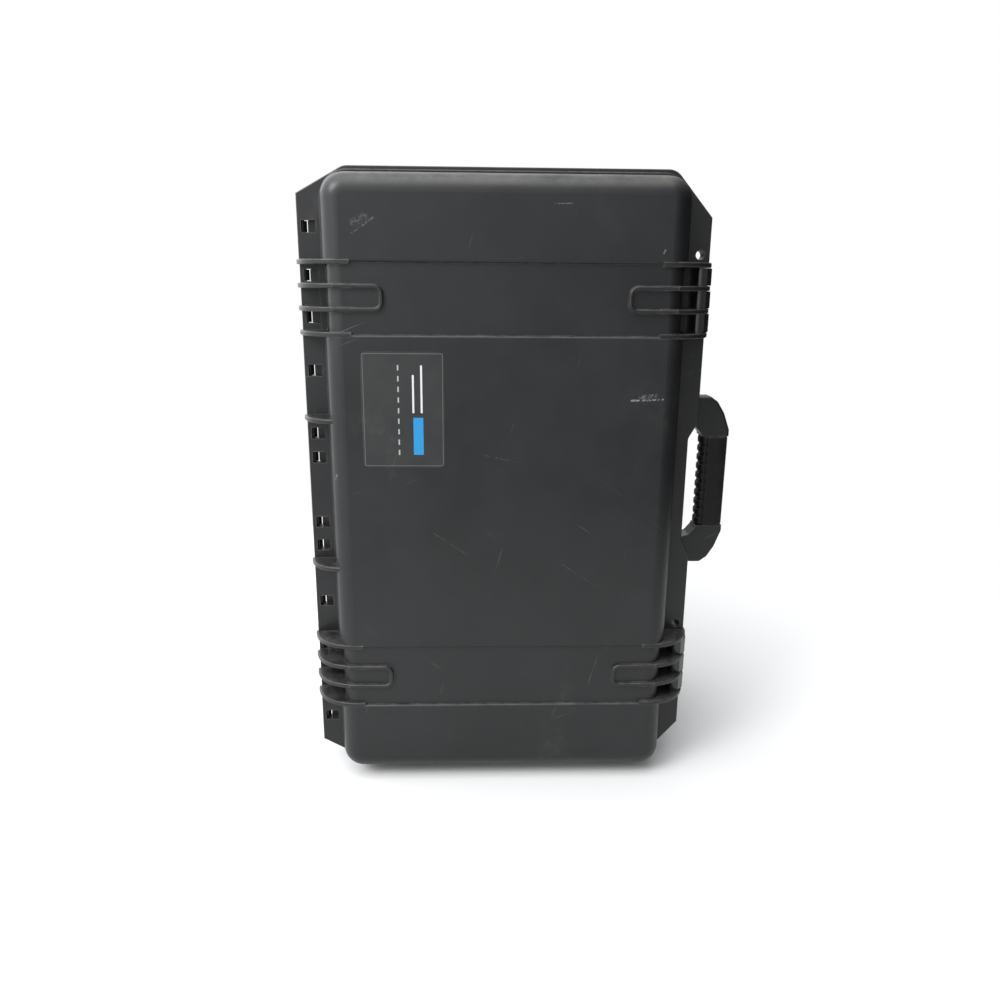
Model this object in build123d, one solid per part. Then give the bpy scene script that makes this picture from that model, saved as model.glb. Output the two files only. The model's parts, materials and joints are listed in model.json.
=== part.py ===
from build123d import *
import math
import os

# Rolling hard case, standing upright on its wheel end with the lid at the front.
# While the pieces are made, x runs from the hinge side to the latch side, y from the
# lid face to the back, and z up the long way. y = 0 is the front of the lid flange
# and z = 0 is mid height. place() moves everything to the row frame at the end.

# Overall sizes
flange_half_width = 174.7
flange_half_height = 275.5
lid_depth = 33.7            # lid face in front of the flange
rim_depth = 8.0             # lid flange, front plane to parting plane
base_depth = 188.0          # parting plane to the back wall
skid_height = 6.3           # skids behind the back wall
ground_gap = 3.0            # feet and wheels below the flange
past = 20.0                 # how far a cutter runs past what it cuts
beyond = 400.0              # larger than the case, for half-space cutters

# Shell walls
wall = 3.2
side_land = 20.7            # flange outside the wall, left and right
end_land = 4.5              # the same, above and below
wall_corner = 22.0
lid_draft = 8.0
lid_edge = 16.0
base_draft = 2.5
base_edge = 12.0
band_depth = 3.0
band_from_end = 76.7        # outer edge of a cross band, in from the flange end
band_height = 58.2

# Flange outline
hinge_chamfer_in = 39.7
hinge_chamfer_down = 21.9
latch_chamfer_in = 32.7
latch_chamfer_down = 37.9
chamfer_round = 14.0
arch_depth = 7.7
arch_half = 48.0
arch_run = 14.0
base_plate = 4.0
skirt_depth = 5.0
skirt_wall = 3.0

# Fins, pockets and beads
fin_wall = 4.0
fin_reach = 1.5
fin_proud = 0.4             # fins and beads in front of the lid face
fin_tail = 26.0             # how far a lid fin runs in over the lid face
gusset_tail = 15.0
fin_foot = 2.0              # straight foot of a lid fin, before it bends over
hinge_fin_back = 2.0        # lid fins on the hinge side stop short, to clear when open
base_fin_tip = 4.0          # base fins past the base edge on the hinge side
base_fin_root = 14.0        # base fins start this far inside the wall
base_fin_length = 62.0
gusset_row = 67.0
pocket_depth = 3.0
pocket_land = 4.5           # flange left whole between the wall and a pocket
latch_setback = 5.0
edge_round = 0.9            # moulded outer edges of flanges and fins
ledge_round = 2.2           # rounded step down into a band
bead_width = 3.7
bead_round = 1.4
bead_length = 90.0
bead_corner = 8.0
bead_from_wall = 53.0       # closed end of a bead, in from the wall
bead_open = 12.0            # open end of a bead, in from the wall
bead_root = 12.0

# Hinge
window_inset = 9.5
window_width = 12.0
window_height = 10.0
knuckle_radius = 3.5
knuckle_play = 0.4
knuckle_gap = 0.2           # between a lid knuckle and a base knuckle
hinge_rod_radius = 1.25
rod_overrun = 1.0
running_fit = 0.05
base_edge_gap = 1.7
last_knuckle = 8.0

# Seal
groove_offset = 1.0
groove_width = 4.0
groove_depth = 3.0
groove_corner = 26.0
gasket_side_play = 0.2
tongue_height = 0.6
tongue_width = 1.6
gasket_gap = 0.3

# Padlock holes
padlock_inset = 8.3
padlock_radius = 4.0
padlock_offset = 8.5
padlock_boss = 3.0

# Latches
latch_play = 0.4
latch_pivot_inset = 8.7
latch_pivot_y = -8.0
latch_eye_radius = 5.0
latch_pin_radius = 1.6
latch_proud = 2.7
latch_skin = 2.4
latch_length_y = 48.0
latch_lip_y = 12.4
latch_lip_end = 16.8
latch_corner = 3.0
trigger_half = 14.0
trigger_start_y = 21.0
trigger_end_y = 41.0
trigger_thick = 2.0
trigger_sunk = 0.2
trigger_pin_radius = 1.1
trigger_barrel = 2.1
trigger_play = 0.3
trigger_ear = 2.5
trigger_rib_radius = 0.6
trigger_rib_pitch = 3.0
trigger_rib_count = 4

# Carry handle
handle_y = 42.0
handle_pivot_inset = 8.7
handle_eye_radius = 9.0
handle_half_depth = 9.0
handle_reach = 48.5         # pivot to the outer face
handle_bar = 26.3           # outer face to the finger side
handle_half_length = 81.5
handle_opening_half = 53.0
handle_arm_inner = 62.0
handle_pin_radius = 2.5
handle_pin_inner = 66.0
handle_play = 0.4
handle_round = 2.5
handle_corner = 4.0
ear_thick = 5.5
ear_root = 6.0              # ears start this far inside the wall
grip_half_length = 44.0
grip_half_depth = 10.5
grip_core_inset = 3.6
grip_core_half = 6.5
grip_corner = 7.0
grip_rib_pitch = 8.8
grip_rib_depth = 1.2
grip_rib_gap = 3.2

# Trolley handle
channel_half = 75.0
channel_depth = 24.0
channel_from_end = 26.0     # channel floor end, up from the wall end
tube_x = 55.0
outer_tube_radius = 8.5
outer_tube_bore = 7.3
inner_tube_radius = 7.0
inner_tube_bore = 5.6
tube_foot = 7.0             # bracket above the channel end
tube_seat = 4.0             # outer tubes stand this far up in the bracket
tube_top_drop = 49.0        # collar below the wall end
inner_tube_lift = 20.0
collar_height = 18.0
collar_round = 1.5
bracket_half = 70.0
bracket_play = 1.0
bracket_window = 22.0
bracket_floor = 5.0
screw_x = 30.0
screw_radius = 2.0
screw_length = 15.0
screw_head_radius = 3.8
screw_head = 2.4
screw_play = 0.05
screw_hole_play = 0.1
trolley_grip_drop = 21.0    # underside of the grip below the wall end
trolley_grip_height = 23.0
trolley_grip_half = 71.0
trolley_grip_wall = 5.0
trolley_grip_socket = 6.0
trolley_grip_round = 5.0
trolley_travel = 380.0
button_half = 14.0
button_half_depth = 5.0
button_proud = 3.0
button_play = 0.3
button_round = 1.5
yoke_lift = 12.0
yoke_thick = 4.0
rod_radius = 1.8
rod_play = 0.3
rod_foot = 6.0
plug_length = 28.0
lock_pin_radius = 2.2
lock_pin_height = 13.0
lock_pin_tail = 2.0
lock_pin_reach = 1.0
lock_pin_pocket = 4.6
slot_play = 0.25

# Wheels and feet
wheel_radius = 24.0
wheel_hub_radius = 17.0
wheel_width = 22.0
wheel_inset = 13.0          # outer face of a wheel, in from the wall
wheel_play = 3.0
well_radius = 28.0
tyre_round = 4.0
hub_dish = 5.0
hub_rim = 3.0
hub_boss_radius = 8.0
hub_hole_circle = 11.0
hub_hole_radius = 2.6
hub_hole_count = 5
bush_wall = 1.5
axle_radius = 4.0
axle_head_radius = 8.0
axle_head = 3.6
axle_head_play = 0.4
axle_seat = 2.0
axle_boss_radius = 9.0
axle_boss_length = 12.0
skid_x = 107.0
skid_half = 7.0
skid_root = 12.0
skid_round = 3.0
skid_top_drop = 21.0
skid_above_well = 21.5
foot_x = 95.0
foot_y = 38.0
foot_length = 38.0
foot_width = 26.0
foot_height = 6.0
foot_corner = 5.0
foot_pad_root = 6.0
foot_screw_spread = 11.0
foot_screw_radius = 1.5
foot_screw_head_radius = 3.1
foot_screw_head = 2.0
foot_screw_lift = 1.0
foot_screw_length = 10.0
foot_hole_play = 0.3

# Pressure valve
valve_y = 62.0
valve_z = -112.0
valve_flange_radius = 11.0
valve_shank_radius = 7.0
valve_shank_play = 0.1
valve_hole_play = 0.3
valve_flange_height = 4.0
valve_pad_proud = 1.5
valve_pad_rim = 2.0
valve_seal_thick = 1.0
valve_tail = 14.0
valve_bore = 3.0
valve_rim = 2.5
valve_cap_play = 0.1
valve_cap_height = 4.0
valve_slot_half = 0.6
valve_slot_pitch = 4.0
valve_nut_radius = 11.0
valve_nut_thick = 4.0

# Foam and label
foam_play = 0.4
foam_channel_play = 4.5
foam_front = 9.0
lid_foam_front = -3.0
foam_rail = 29.4            # foam outside the pockets, left and right
foam_end = 39.4             # the same, above and below
foam_cross = 18.0           # foam between the upper pocket and the lower two
foam_cross_z = 1.0
foam_middle = 16.0          # foam between the two lower pockets
foam_floor = 44.0           # pocket floor in front of the channel floor
label_from_wall = 32.3
label_low_z = 28.5
label_width = 70.3
label_height = 98.9
label_round = 6.0
label_thick = 0.4

# Worked-out places
wall_half_width = flange_half_width - side_land
wall_half_height = flange_half_height - end_land
band_high = flange_half_height - band_from_end
band_low = band_high - band_height
fin_rows = (band_low, band_low + 20.3, band_low + 39.1, band_high)
window_rows = (30.2, 52.2, 107.6, band_low + 12.6, band_low + 47.4, flange_half_height - 48.1)
window_x = window_inset - flange_half_width
parting = rim_depth
back_wall = parting + base_depth
back_plane = back_wall + skid_height
floor_z = -flange_half_height - ground_gap
fin_tip = flange_half_width + fin_reach
hinge_x = -flange_half_width + knuckle_radius
base_hinge_edge = hinge_x + knuckle_radius + base_edge_gap
padlock_x = flange_half_width - padlock_inset
padlock_rows = (band_high + padlock_offset, padlock_offset - band_low)
latch_pivot_x = flange_half_width - latch_pivot_inset
latch_outer_x = flange_half_width + latch_proud
handle_pivot_x = flange_half_width - handle_pivot_inset
handle_outer_x = handle_pivot_x + handle_reach
handle_inner_x = handle_outer_x - handle_bar
wheel_inner_x = wall_half_width - wheel_inset - wheel_width
well_inner_x = wheel_inner_x - wheel_play
wheel_y = back_plane - wheel_radius
wheel_z = floor_z + wheel_radius
channel_floor = back_wall - channel_depth
channel_bottom = channel_from_end - wall_half_height
tube_bottom = channel_bottom + tube_foot
tube_top = wall_half_height - tube_top_drop
inner_tube_bottom = tube_bottom + inner_tube_lift
tube_y = channel_floor + bracket_play / 2 + channel_depth / 2
trolley_grip_low = wall_half_height - trolley_grip_drop
trolley_grip_high = trolley_grip_low + trolley_grip_height
lock_pin_z = inner_tube_bottom + lock_pin_height
valve_pad_x = wall_half_width + valve_pad_proud
pocket_floor = channel_floor - foam_floor
centre_x = (handle_outer_x - fin_tip) / 2
centre_y = (back_plane - lid_depth - fin_proud) / 2


def place(shape):
    """Case coordinates to the row frame: origin under the middle, on the floor."""
    return Pos(-centre_x, -centre_y, -floor_z) * shape


def prism(face, front, back):
    """A front-view outline carried from one depth to another."""
    return extrude(Plane.XZ.offset(-back) * face, amount=back - front, dir=(0, -1, 0))


def tower(face, low, high):
    """A top-view outline carried from one height to another."""
    return extrude(Pos(0, 0, low) * face, amount=high - low, dir=(0, 0, 1))


def block(x0, x1, y0, y1, z0, z1):
    """Box between two corners."""
    middle = Pos((x0 + x1) / 2, (y0 + y1) / 2, (z0 + z1) / 2)
    return middle * Box(x1 - x0, y1 - y0, z1 - z0)


def post(x, y, z0, z1, radius):
    """Upright cylinder."""
    return Pos(x, y, (z0 + z1) / 2) * Cylinder(radius, z1 - z0)


def bar_x(y, z, x0, x1, radius):
    """Cylinder lying along x."""
    return Pos((x0 + x1) / 2, y, z) * Rot(0, 90, 0) * Cylinder(radius, x1 - x0)


def bar_y(x, z, y0, y1, radius):
    """Cylinder lying along y."""
    return Pos(x, (y0 + y1) / 2, z) * Rot(90, 0, 0) * Cylinder(radius, y1 - y0)


def tub(half_width, half_height, corner, rim, end, draft, edge):
    """Block with drafted walls and a rounded far edge."""
    way = 1 if end > rim else -1
    start = Plane(origin=(0, rim, 0), x_dir=(1, 0, 0), z_dir=(0, way, 0))
    face = start * RectangleRounded(2 * half_width, 2 * half_height, corner)
    body = extrude(face, amount=abs(end - rim), taper=draft)
    far = body.faces().sort_by(Axis.Y)[-1 if way > 0 else 0]
    return fillet(far.edges(), edge)


def lid_tub(inset):
    """Lid form, this far inside its outer skin."""
    return tub(wall_half_width - inset, wall_half_height - inset, wall_corner - inset,
               0, inset - lid_depth, lid_draft, lid_edge - inset)


def base_tub(inset):
    """Base form, this far inside its outer skin."""
    return tub(wall_half_width - inset, wall_half_height - inset, wall_corner - inset,
               parting, back_wall - inset, base_draft, base_edge - inset)


def banded(form, inset, ledge=0.0):
    """The form with its two cross bands set in, and their steps rounded."""
    narrow = form(inset + band_depth)
    low, high = band_low - inset, band_high + inset
    body = form(inset)
    bands = []
    for side in (1, -1):
        z0, z1 = sorted((side * low, side * high))
        band = block(-beyond, beyond, -beyond, beyond, z0, z1)
        body -= band
        bands.append(narrow & band)
    if ledge:
        rims = [face for face in body.faces().filter_by(Axis.Z)
                if min(abs(abs(face.center().Z) - low), abs(abs(face.center().Z) - high)) < 0.01]
        edges = [edge for face in rims for edge in face.edges() if not is_rim_edge(edge)]
        body = fillet(edges, ledge)
    for band in bands:
        body += band
    return body


def is_rim_edge(edge):
    """Whether an edge lies in the plane where a tub meets its flange."""
    depths = [point.Y for point in (edge @ 0, edge @ 1)]
    return max(depths) - min(depths) < 0.01 and min(abs(depths[0]), abs(depths[0] - parting)) < 0.01


def flange_outline(hinge_edge, grow=0.0):
    """Flange seen from the front: a long rectangle with four cut corners."""
    half_width = flange_half_width + grow
    half_height = flange_half_height + grow
    upper = [(hinge_edge - grow, flange_half_height - hinge_chamfer_down),
             (hinge_chamfer_in - flange_half_width, half_height),
             (flange_half_width - latch_chamfer_in, half_height),
             (half_width, flange_half_height - latch_chamfer_down),
             (half_width, arch_half + arch_run), (half_width - arch_depth, arch_half)]
    lower = [(x, -z) for x, z in reversed(upper)]
    face = Polygon(*upper, *lower, align=None)
    tops = [v for v in face.vertices() if abs(abs(v.Y) - half_height) < 0.01]
    face = fillet(tops, chamfer_round)
    arch = [v for v in face.vertices() if v.X > 0 and abs(v.Y) < arch_half + arch_run + 1]
    return fillet(arch, arch_run / 2)


def seal_ring(width, front, back):
    """Ring along the middle of the sealing land."""
    half_width = wall_half_width + groove_offset
    half_height = wall_half_height + groove_offset
    outer = RectangleRounded(2 * half_width + width, 2 * half_height + width,
                             groove_corner + width / 2)
    inner = RectangleRounded(2 * half_width - width, 2 * half_height - width,
                             groove_corner - width / 2)
    return prism(outer - inner, front, back)


def lid_fin(side, row, tail_x, tail_y):
    """Side fin: rises from the parting plane and bends over onto the lid face."""
    bend = (fin_tip - 6, -24), (wall_half_width + 2, tail_y)
    curve = Bezier((fin_tip, -fin_foot), *bend, (tail_x, tail_y))
    back = parting if side > 0 else hinge_fin_back
    line = Polyline((tail_x, tail_y), (tail_x, back), (fin_tip, back), (fin_tip, -fin_foot))
    face = make_face(curve + line)
    fin = tower(face, row - fin_wall / 2, row + fin_wall / 2)
    crest = [edge for edge in fin.edges() if edge.center().Y < -1 and edge.length > 10
             and edge.center().X > tail_x + 1]
    fin = fillet(crest, edge_round)
    return fin if side > 0 else mirror(fin, about=Plane.YZ)


def base_fin(side, row):
    """Side fin behind the base flange, running down onto the wall."""
    tip = base_fin_tip - base_hinge_edge if side < 0 else flange_half_width - fin_reach
    root = wall_half_width - base_fin_root
    end = parting + base_fin_length
    face = Polygon((root, parting + 1), (tip - 4, parting + 1), (tip, parting + base_plate + 1),
                   (tip - 1, parting + 14), (tip - 12, parting + 34), (root + 10, end),
                   (root, end), align=None)
    fin = tower(face, row - fin_wall / 2, row + fin_wall / 2)
    return fin if side > 0 else mirror(fin, about=Plane.YZ)


def lid_beads():
    """Four raised U beads on the bands, open towards the fins."""
    beads = []
    height = fin_rows[2] - fin_rows[1] + bead_width
    middle = (fin_rows[1] + fin_rows[2]) / 2
    top = -lid_depth - fin_proud
    centre = wall_half_width - bead_from_wall + bead_length / 2
    for side in (1, -1):
        x0, x1 = sorted((side * (wall_half_width - bead_open), side * beyond))
        for up in (1, -1):
            outer = RectangleRounded(bead_length, height, bead_corner)
            inner = RectangleRounded(bead_length - 2 * bead_width, height - 2 * bead_width,
                                     bead_corner - bead_width)
            spot = Pos(side * centre, up * middle)
            bead = prism(spot * (outer - inner), top, top + bead_root)
            bead = fillet(bead.faces().sort_by(Axis.Y)[0].edges(), bead_round)
            beads.append(bead - block(x0, x1, -beyond, beyond, -beyond, beyond))
    return beads


def knuckle_spans():
    """Height ranges of the base knuckles, between the lid's."""
    half = window_height / 2 + knuckle_gap
    spans = []
    for low, high in zip(window_rows, window_rows[1:]):
        spans.append((low + half, high - half))
    spans.append((window_rows[-1] + half, window_rows[-1] + half + last_knuckle))
    return [(low, high) for low, high in spans] + [(-high, -low) for low, high in spans]


def latch_gap_boxes(front, back):
    """Where the flange edge is set back for the latches, between the fins."""
    boxes = []
    for up in (1, -1):
        low, high = sorted((up * (band_low + fin_wall / 2), up * (band_high - fin_wall / 2)))
        boxes.append(block(flange_half_width - latch_setback, fin_tip + past, front, back,
                           low, high))
    return boxes


def fin_gaps():
    """Height ranges between neighbouring fins in a band."""
    gaps = []
    for low, high in zip(fin_rows, fin_rows[1:]):
        gaps.append((low + fin_wall / 2, high - fin_wall / 2))
        gaps.append((-high + fin_wall / 2, -low - fin_wall / 2))
    return gaps


def make_lid_shell():
    body = banded(lid_tub, 0, ledge_round)
    flange = prism(flange_outline(-flange_half_width), 0, parting)
    body += fillet(flange.faces().sort_by(Axis.Y)[0].edges(), edge_round)
    for box in latch_gap_boxes(-1, parting + 1):
        body -= box
    for low, high in fin_gaps():
        for side in (1, -1):
            x0, x1 = sorted((side * (wall_half_width + pocket_land), side * (fin_tip + 1)))
            body -= block(x0, x1, -1, pocket_depth, low, high)
    for up in (1, -1):
        for row in fin_rows:
            for side in (1, -1):
                body += lid_fin(side, up * row, wall_half_width - fin_tail,
                                -lid_depth - fin_proud)
        body += lid_fin(-1, up * gusset_row, wall_half_width - gusset_tail, 5 - lid_depth)
    for bead in lid_beads():
        body += bead
    cavity = banded(lid_tub, wall)
    rim = RectangleRounded(2 * (wall_half_width - wall), 2 * (wall_half_height - wall),
                           wall_corner - wall)
    body = body - cavity - prism(rim, -0.5, parting + 1)
    body -= seal_ring(groove_width, parting - groove_depth, parting + 1)
    for up in (1, -1):
        for row in window_rows:
            z = up * row
            body -= block(window_x - window_width / 2, window_x + window_width / 2, -5,
                          parting + 1, z - window_height / 2, z + window_height / 2)
            low, high = z - window_height / 2 + 0.5, z + window_height / 2 - 0.5
            body += post(hinge_x, parting, low, high, knuckle_radius)
    for low, high in knuckle_spans():
        body -= post(hinge_x, parting, low - knuckle_gap, high + knuckle_gap,
                     knuckle_radius + knuckle_play)
    body -= hinge_bore()
    for z in padlock_rows:
        body -= bar_y(padlock_x, z, -past, parting + past, padlock_radius)
    for up in (1, -1):
        low, high = sorted((up * (band_low - 10), up * (band_high + 10)))
        body -= post(latch_pivot_x, latch_pivot_y, low, high, latch_pin_radius + running_fit)
    return body


def hinge_bore():
    """Cutter for the hinge rods, along the whole hinge edge."""
    return post(hinge_x, parting, -flange_half_height + past / 2, flange_half_height - past / 2,
                hinge_rod_radius + running_fit)


def make_base_outer():
    body = banded(base_tub, 0, ledge_round)
    body += prism(flange_outline(base_hinge_edge), parting, parting + base_plate)
    rim = flange_outline(base_hinge_edge) - flange_outline(base_hinge_edge, -skirt_wall)
    body += prism(rim, parting, parting + base_plate + skirt_depth)
    for up in (1, -1):
        for row in (fin_rows[0], fin_rows[3]):
            body += base_fin(1, up * row)
        for row in (gusset_row,) + fin_rows:
            body += base_fin(-1, up * row)
    for box in latch_gap_boxes(parting - 1, parting + base_fin_length):
        body -= box
    for low, high in knuckle_spans():
        body += post(hinge_x, parting, low, high, knuckle_radius)
        body += block(hinge_x, base_hinge_edge + 2, parting, parting + knuckle_radius, low, high)
    return body


def add_outside_fittings(body):
    """Skids, handle ears, valve pad, foot pads and padlock bosses."""
    for side in (1, -1):
        skid = block(side * skid_x - skid_half, side * skid_x + skid_half,
                     back_wall - skid_root, back_plane,
                     wheel_z + well_radius + skid_above_well, wall_half_height - skid_top_drop)
        body += fillet(skid.faces().sort_by(Axis.Y)[-1].edges(), skid_round)
        body += block(side * foot_x - foot_length / 2, side * foot_x + foot_length / 2,
                      foot_y - foot_width / 2, foot_y + foot_width / 2,
                      floor_z + foot_height, -wall_half_height + foot_pad_root)
        inner = side * (handle_half_length + handle_play)
        low, high = sorted((inner, inner + side * ear_thick))
        root = wall_half_width - ear_root
        face = Polygon((root, handle_y - 2 * handle_eye_radius),
                       (handle_pivot_x, handle_y - handle_eye_radius),
                       (handle_pivot_x, handle_y + handle_eye_radius),
                       (root, handle_y + 2 * handle_eye_radius + 4), align=None)
        face += Pos(handle_pivot_x, handle_y) * Circle(handle_eye_radius)
        body += tower(face, low, high)
    body += bar_x(valve_y, valve_z, wall_half_width - 8, valve_pad_x,
                  valve_flange_radius + valve_pad_rim)
    return body


def hollows(grow):
    """Channel and wheel wells, widened by a wall on the inside."""
    shapes = [block(-channel_half - grow, channel_half + grow, channel_floor - grow,
                    back_plane + past, channel_bottom - grow, flange_half_height + past)]
    for side in (1, -1):
        x0, x1 = sorted((side * (well_inner_x - grow), side * (wall_half_width + past)))
        shapes.append(bar_x(wheel_y, wheel_z, x0, x1, well_radius + grow))
    return shapes


def make_base_shell():
    body = add_outside_fittings(make_base_outer())
    cavity = banded(base_tub, wall)
    cavity += prism(RectangleRounded(2 * (wall_half_width - wall), 2 * (wall_half_height - wall),
                                     wall_corner - wall), parting - 1, parting + 0.5)
    for shape in hollows(0):
        body -= shape
    for shape in hollows(wall):
        cavity -= shape
    for side in (1, -1):
        x0, x1 = sorted((side * (well_inner_x - axle_boss_length), side * well_inner_x))
        cavity -= bar_x(wheel_y, wheel_z, x0, x1, axle_boss_radius)
    body -= cavity
    body += seal_ring(tongue_width, parting - tongue_height, parting + 1)
    body -= hinge_bore()
    for z in padlock_rows:
        body += bar_y(padlock_x, z, parting, parting + rim_depth, padlock_radius + padlock_boss)
        body -= bar_y(padlock_x, z, parting - 5, parting + past, padlock_radius)
    body -= post(handle_pivot_x, handle_y, -beyond, beyond, handle_pin_radius + running_fit)
    body -= bar_x(valve_y, valve_z, wall_half_width - past, valve_pad_x + past,
                  valve_shank_radius + valve_hole_play)
    for side in (1, -1):
        x0, x1 = sorted((side * (well_inner_x - axle_boss_length + axle_seat),
                         side * (well_inner_x + past)))
        body -= bar_x(wheel_y, wheel_z, x0, x1, axle_radius + running_fit)
        for low in (tube_bottom, tube_top - collar_height):
            body -= bar_y(side * screw_x, low + collar_height / 2, channel_floor - 2 * wall,
                          channel_floor + 1, screw_radius + screw_hole_play)
        for shift in (-foot_screw_spread, foot_screw_spread):
            body -= post(side * foot_x + shift, foot_y, floor_z + foot_screw_lift,
                         -wall_half_height + 4, foot_screw_radius + screw_hole_play)
    return body


def make_hinge_rods():
    first = window_rows[0] - window_height / 2 - rod_overrun
    last = window_rows[-1] + window_height / 2 + last_knuckle
    upper = post(hinge_x, parting, first, last, hinge_rod_radius)
    lower = post(hinge_x, parting, -last, -first, hinge_rod_radius)
    return {"hinge_rod_upper": upper, "hinge_rod_lower": lower}


def make_gasket():
    width = groove_width - 2 * gasket_side_play
    front = parting - groove_depth
    back = parting - tongue_height - gasket_gap
    return {"lid_gasket": seal_ring(width, front, back)}


def latch_span(up):
    """Low and high ends of a latch, between the outer fins."""
    inner = band_low + fin_wall / 2 + latch_play
    outer = band_high - fin_wall / 2 - latch_play
    return sorted((up * inner, up * outer))


def make_latch(up):
    low, high = latch_span(up)
    inner_x = flange_half_width - latch_setback + latch_play
    px, py = latch_pivot_x, latch_pivot_y
    tip_x = latch_outer_x - 3.4
    outline = Polygon((px, py - latch_eye_radius), (px + 4, py - latch_eye_radius),
                      (latch_outer_x - 1.9, py + 1), (latch_outer_x, py + 10),
                      (latch_outer_x, latch_length_y - 12), (tip_x, latch_length_y),
                      (inner_x, latch_length_y), (inner_x, py + 4), (px, py + latch_eye_radius),
                      align=None)
    soft = [v for v in outline.vertices() if v.X > tip_x - 0.5]
    outline = fillet(soft, latch_corner)
    outline += Pos(px, py) * Circle(latch_eye_radius)
    body = tower(outline, low, high)
    rims = [edge for edge in body.edges() if edge.center().X > px + 5
            and min(abs(edge.center().Z - low), abs(edge.center().Z - high)) < 0.01]
    body = fillet(rims, edge_round)
    skin = latch_outer_x - latch_skin
    body -= block(inner_x - 1, skin, latch_lip_end, latch_length_y - latch_skin,
                  low + latch_skin, high - latch_skin)
    for row in fin_rows[1:3]:
        half = fin_wall / 2 + latch_play
        body -= block(px - 10, fin_tip + 10, py - 10, latch_lip_y - 1,
                      up * row - half, up * row + half)
    middle = (low + high) / 2
    reach = trigger_half + trigger_play
    body -= block(skin - 1, latch_outer_x + 1, trigger_start_y - trigger_play,
                  trigger_end_y + trigger_play, middle - reach, middle + reach)
    pin_x, pin_y = trigger_pin_place()
    for end in (-1, 1):
        z0, z1 = sorted((middle + end * reach, middle + end * (reach + trigger_ear)))
        body += block(inner_x + 0.5, skin + 0.5, pin_y - 3, pin_y + 3, z0, z1)
    body -= post(pin_x, pin_y, middle - reach - trigger_ear, middle + reach + trigger_ear,
                 trigger_pin_radius + running_fit)
    body -= post(px, py, low - 1, high + 1, latch_pin_radius + running_fit)
    return body


def trigger_pin_place():
    """Trigger pivot, just behind the latch skin."""
    return latch_outer_x - latch_skin - trigger_barrel + 1.2, trigger_start_y + 2.6


def make_trigger(up):
    low, high = latch_span(up)
    middle = (low + high) / 2
    pin_x, pin_y = trigger_pin_place()
    outer = latch_outer_x - trigger_sunk
    plate = block(outer - trigger_thick, outer, trigger_start_y, trigger_end_y,
                  middle - trigger_half, middle + trigger_half)
    for step in range(trigger_rib_count):
        y = trigger_end_y - 4 - trigger_rib_pitch * step
        plate += post(outer - trigger_rib_radius / 2, y, middle - trigger_half + 3,
                      middle + trigger_half - 3, trigger_rib_radius)
    plate += post(pin_x, pin_y, middle - trigger_half, middle + trigger_half, trigger_barrel)
    plate -= post(pin_x, pin_y, middle - past, middle + past, trigger_pin_radius + running_fit)
    return plate


def make_latches():
    parts = {}
    for name, up in (("upper", 1), ("lower", -1)):
        low, high = latch_span(up)
        middle = (low + high) / 2
        pin_x, pin_y = trigger_pin_place()
        reach = trigger_half + trigger_play + trigger_ear
        parts[f"latch_{name}"] = make_latch(up)
        parts[f"latch_{name}_pin"] = post(latch_pivot_x, latch_pivot_y, low - fin_wall,
                                          high + fin_wall, latch_pin_radius)
        parts[f"latch_{name}_trigger"] = make_trigger(up)
        parts[f"latch_{name}_trigger_pin"] = post(pin_x, pin_y, middle - reach, middle + reach,
                                                  trigger_pin_radius)
    return parts


def handle_outline():
    """Handle seen from the front, opening included."""
    start_x, top, turn = handle_pivot_x - handle_eye_radius, handle_half_length, handle_outer_x
    outer = [(start_x, top), (turn - 19.5, top), (turn - 12.5, top - 5), (turn - 5.9, top - 15.5),
             (turn, top - 31.5)]
    inner = [(start_x, handle_arm_inner), (handle_inner_x - 6.2, handle_opening_half),
             (handle_inner_x, handle_opening_half - 7)]
    face = Polygon(*outer, *[(x, -z) for x, z in reversed(outer)],
                   *[(x, -z) for x, z in inner], *reversed(inner), align=None)
    return fillet([v for v in face.vertices() if v.X > handle_inner_x - 8], handle_corner)


def make_handle():
    core, half = grip_core_inset, handle_half_depth
    frame = prism(handle_outline(), handle_y - half, handle_y + half)
    side_view = Pos(handle_pivot_x, handle_y) * Circle(handle_eye_radius)
    side_view += Polygon((handle_pivot_x, handle_y - half), (handle_outer_x, handle_y - half),
                         (handle_outer_x, handle_y + half), (handle_pivot_x, handle_y + half),
                         align=None)
    frame &= tower(side_view, -beyond, beyond)
    outer_rims = [edge for edge in frame.edges() if edge.center().X > handle_inner_x
                  and abs(abs(edge.center().Y - handle_y) - half) < 0.01]
    frame = fillet(outer_rims, handle_round)
    frame -= grip_form()
    frame += block(handle_inner_x + core, handle_outer_x - core, handle_y - grip_core_half,
                   handle_y + grip_core_half, -grip_half_length, grip_half_length)
    frame -= post(handle_pivot_x, handle_y, -beyond, beyond, handle_pin_radius + running_fit)
    grip = fillet(grip_form().edges().filter_by(Axis.Z), grip_corner)
    grip -= block(handle_inner_x + core, handle_outer_x - core, handle_y - grip_core_half,
                  handle_y + grip_core_half, -beyond, beyond)
    count = int(2 * grip_half_length / grip_rib_pitch)
    for step in range(count):
        z = (step - (count - 1) / 2) * grip_rib_pitch
        grip -= block(handle_inner_x - past, handle_inner_x + grip_rib_depth, handle_y - past,
                      handle_y + past, z - grip_rib_gap / 2, z + grip_rib_gap / 2)
    pins = []
    for side in (1, -1):
        low, high = sorted((side * handle_pin_inner,
                            side * (handle_half_length + handle_play + ear_thick)))
        pins.append(post(handle_pivot_x, handle_y, low, high, handle_pin_radius))
    return {"handle_frame": frame, "handle_grip": grip, "handle_pins": Compound(pins)}


def grip_form():
    """Plain block that the soft grip fills."""
    return block(handle_inner_x, handle_outer_x, handle_y - grip_half_depth,
                 handle_y + grip_half_depth, -grip_half_length, grip_half_length)


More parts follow.
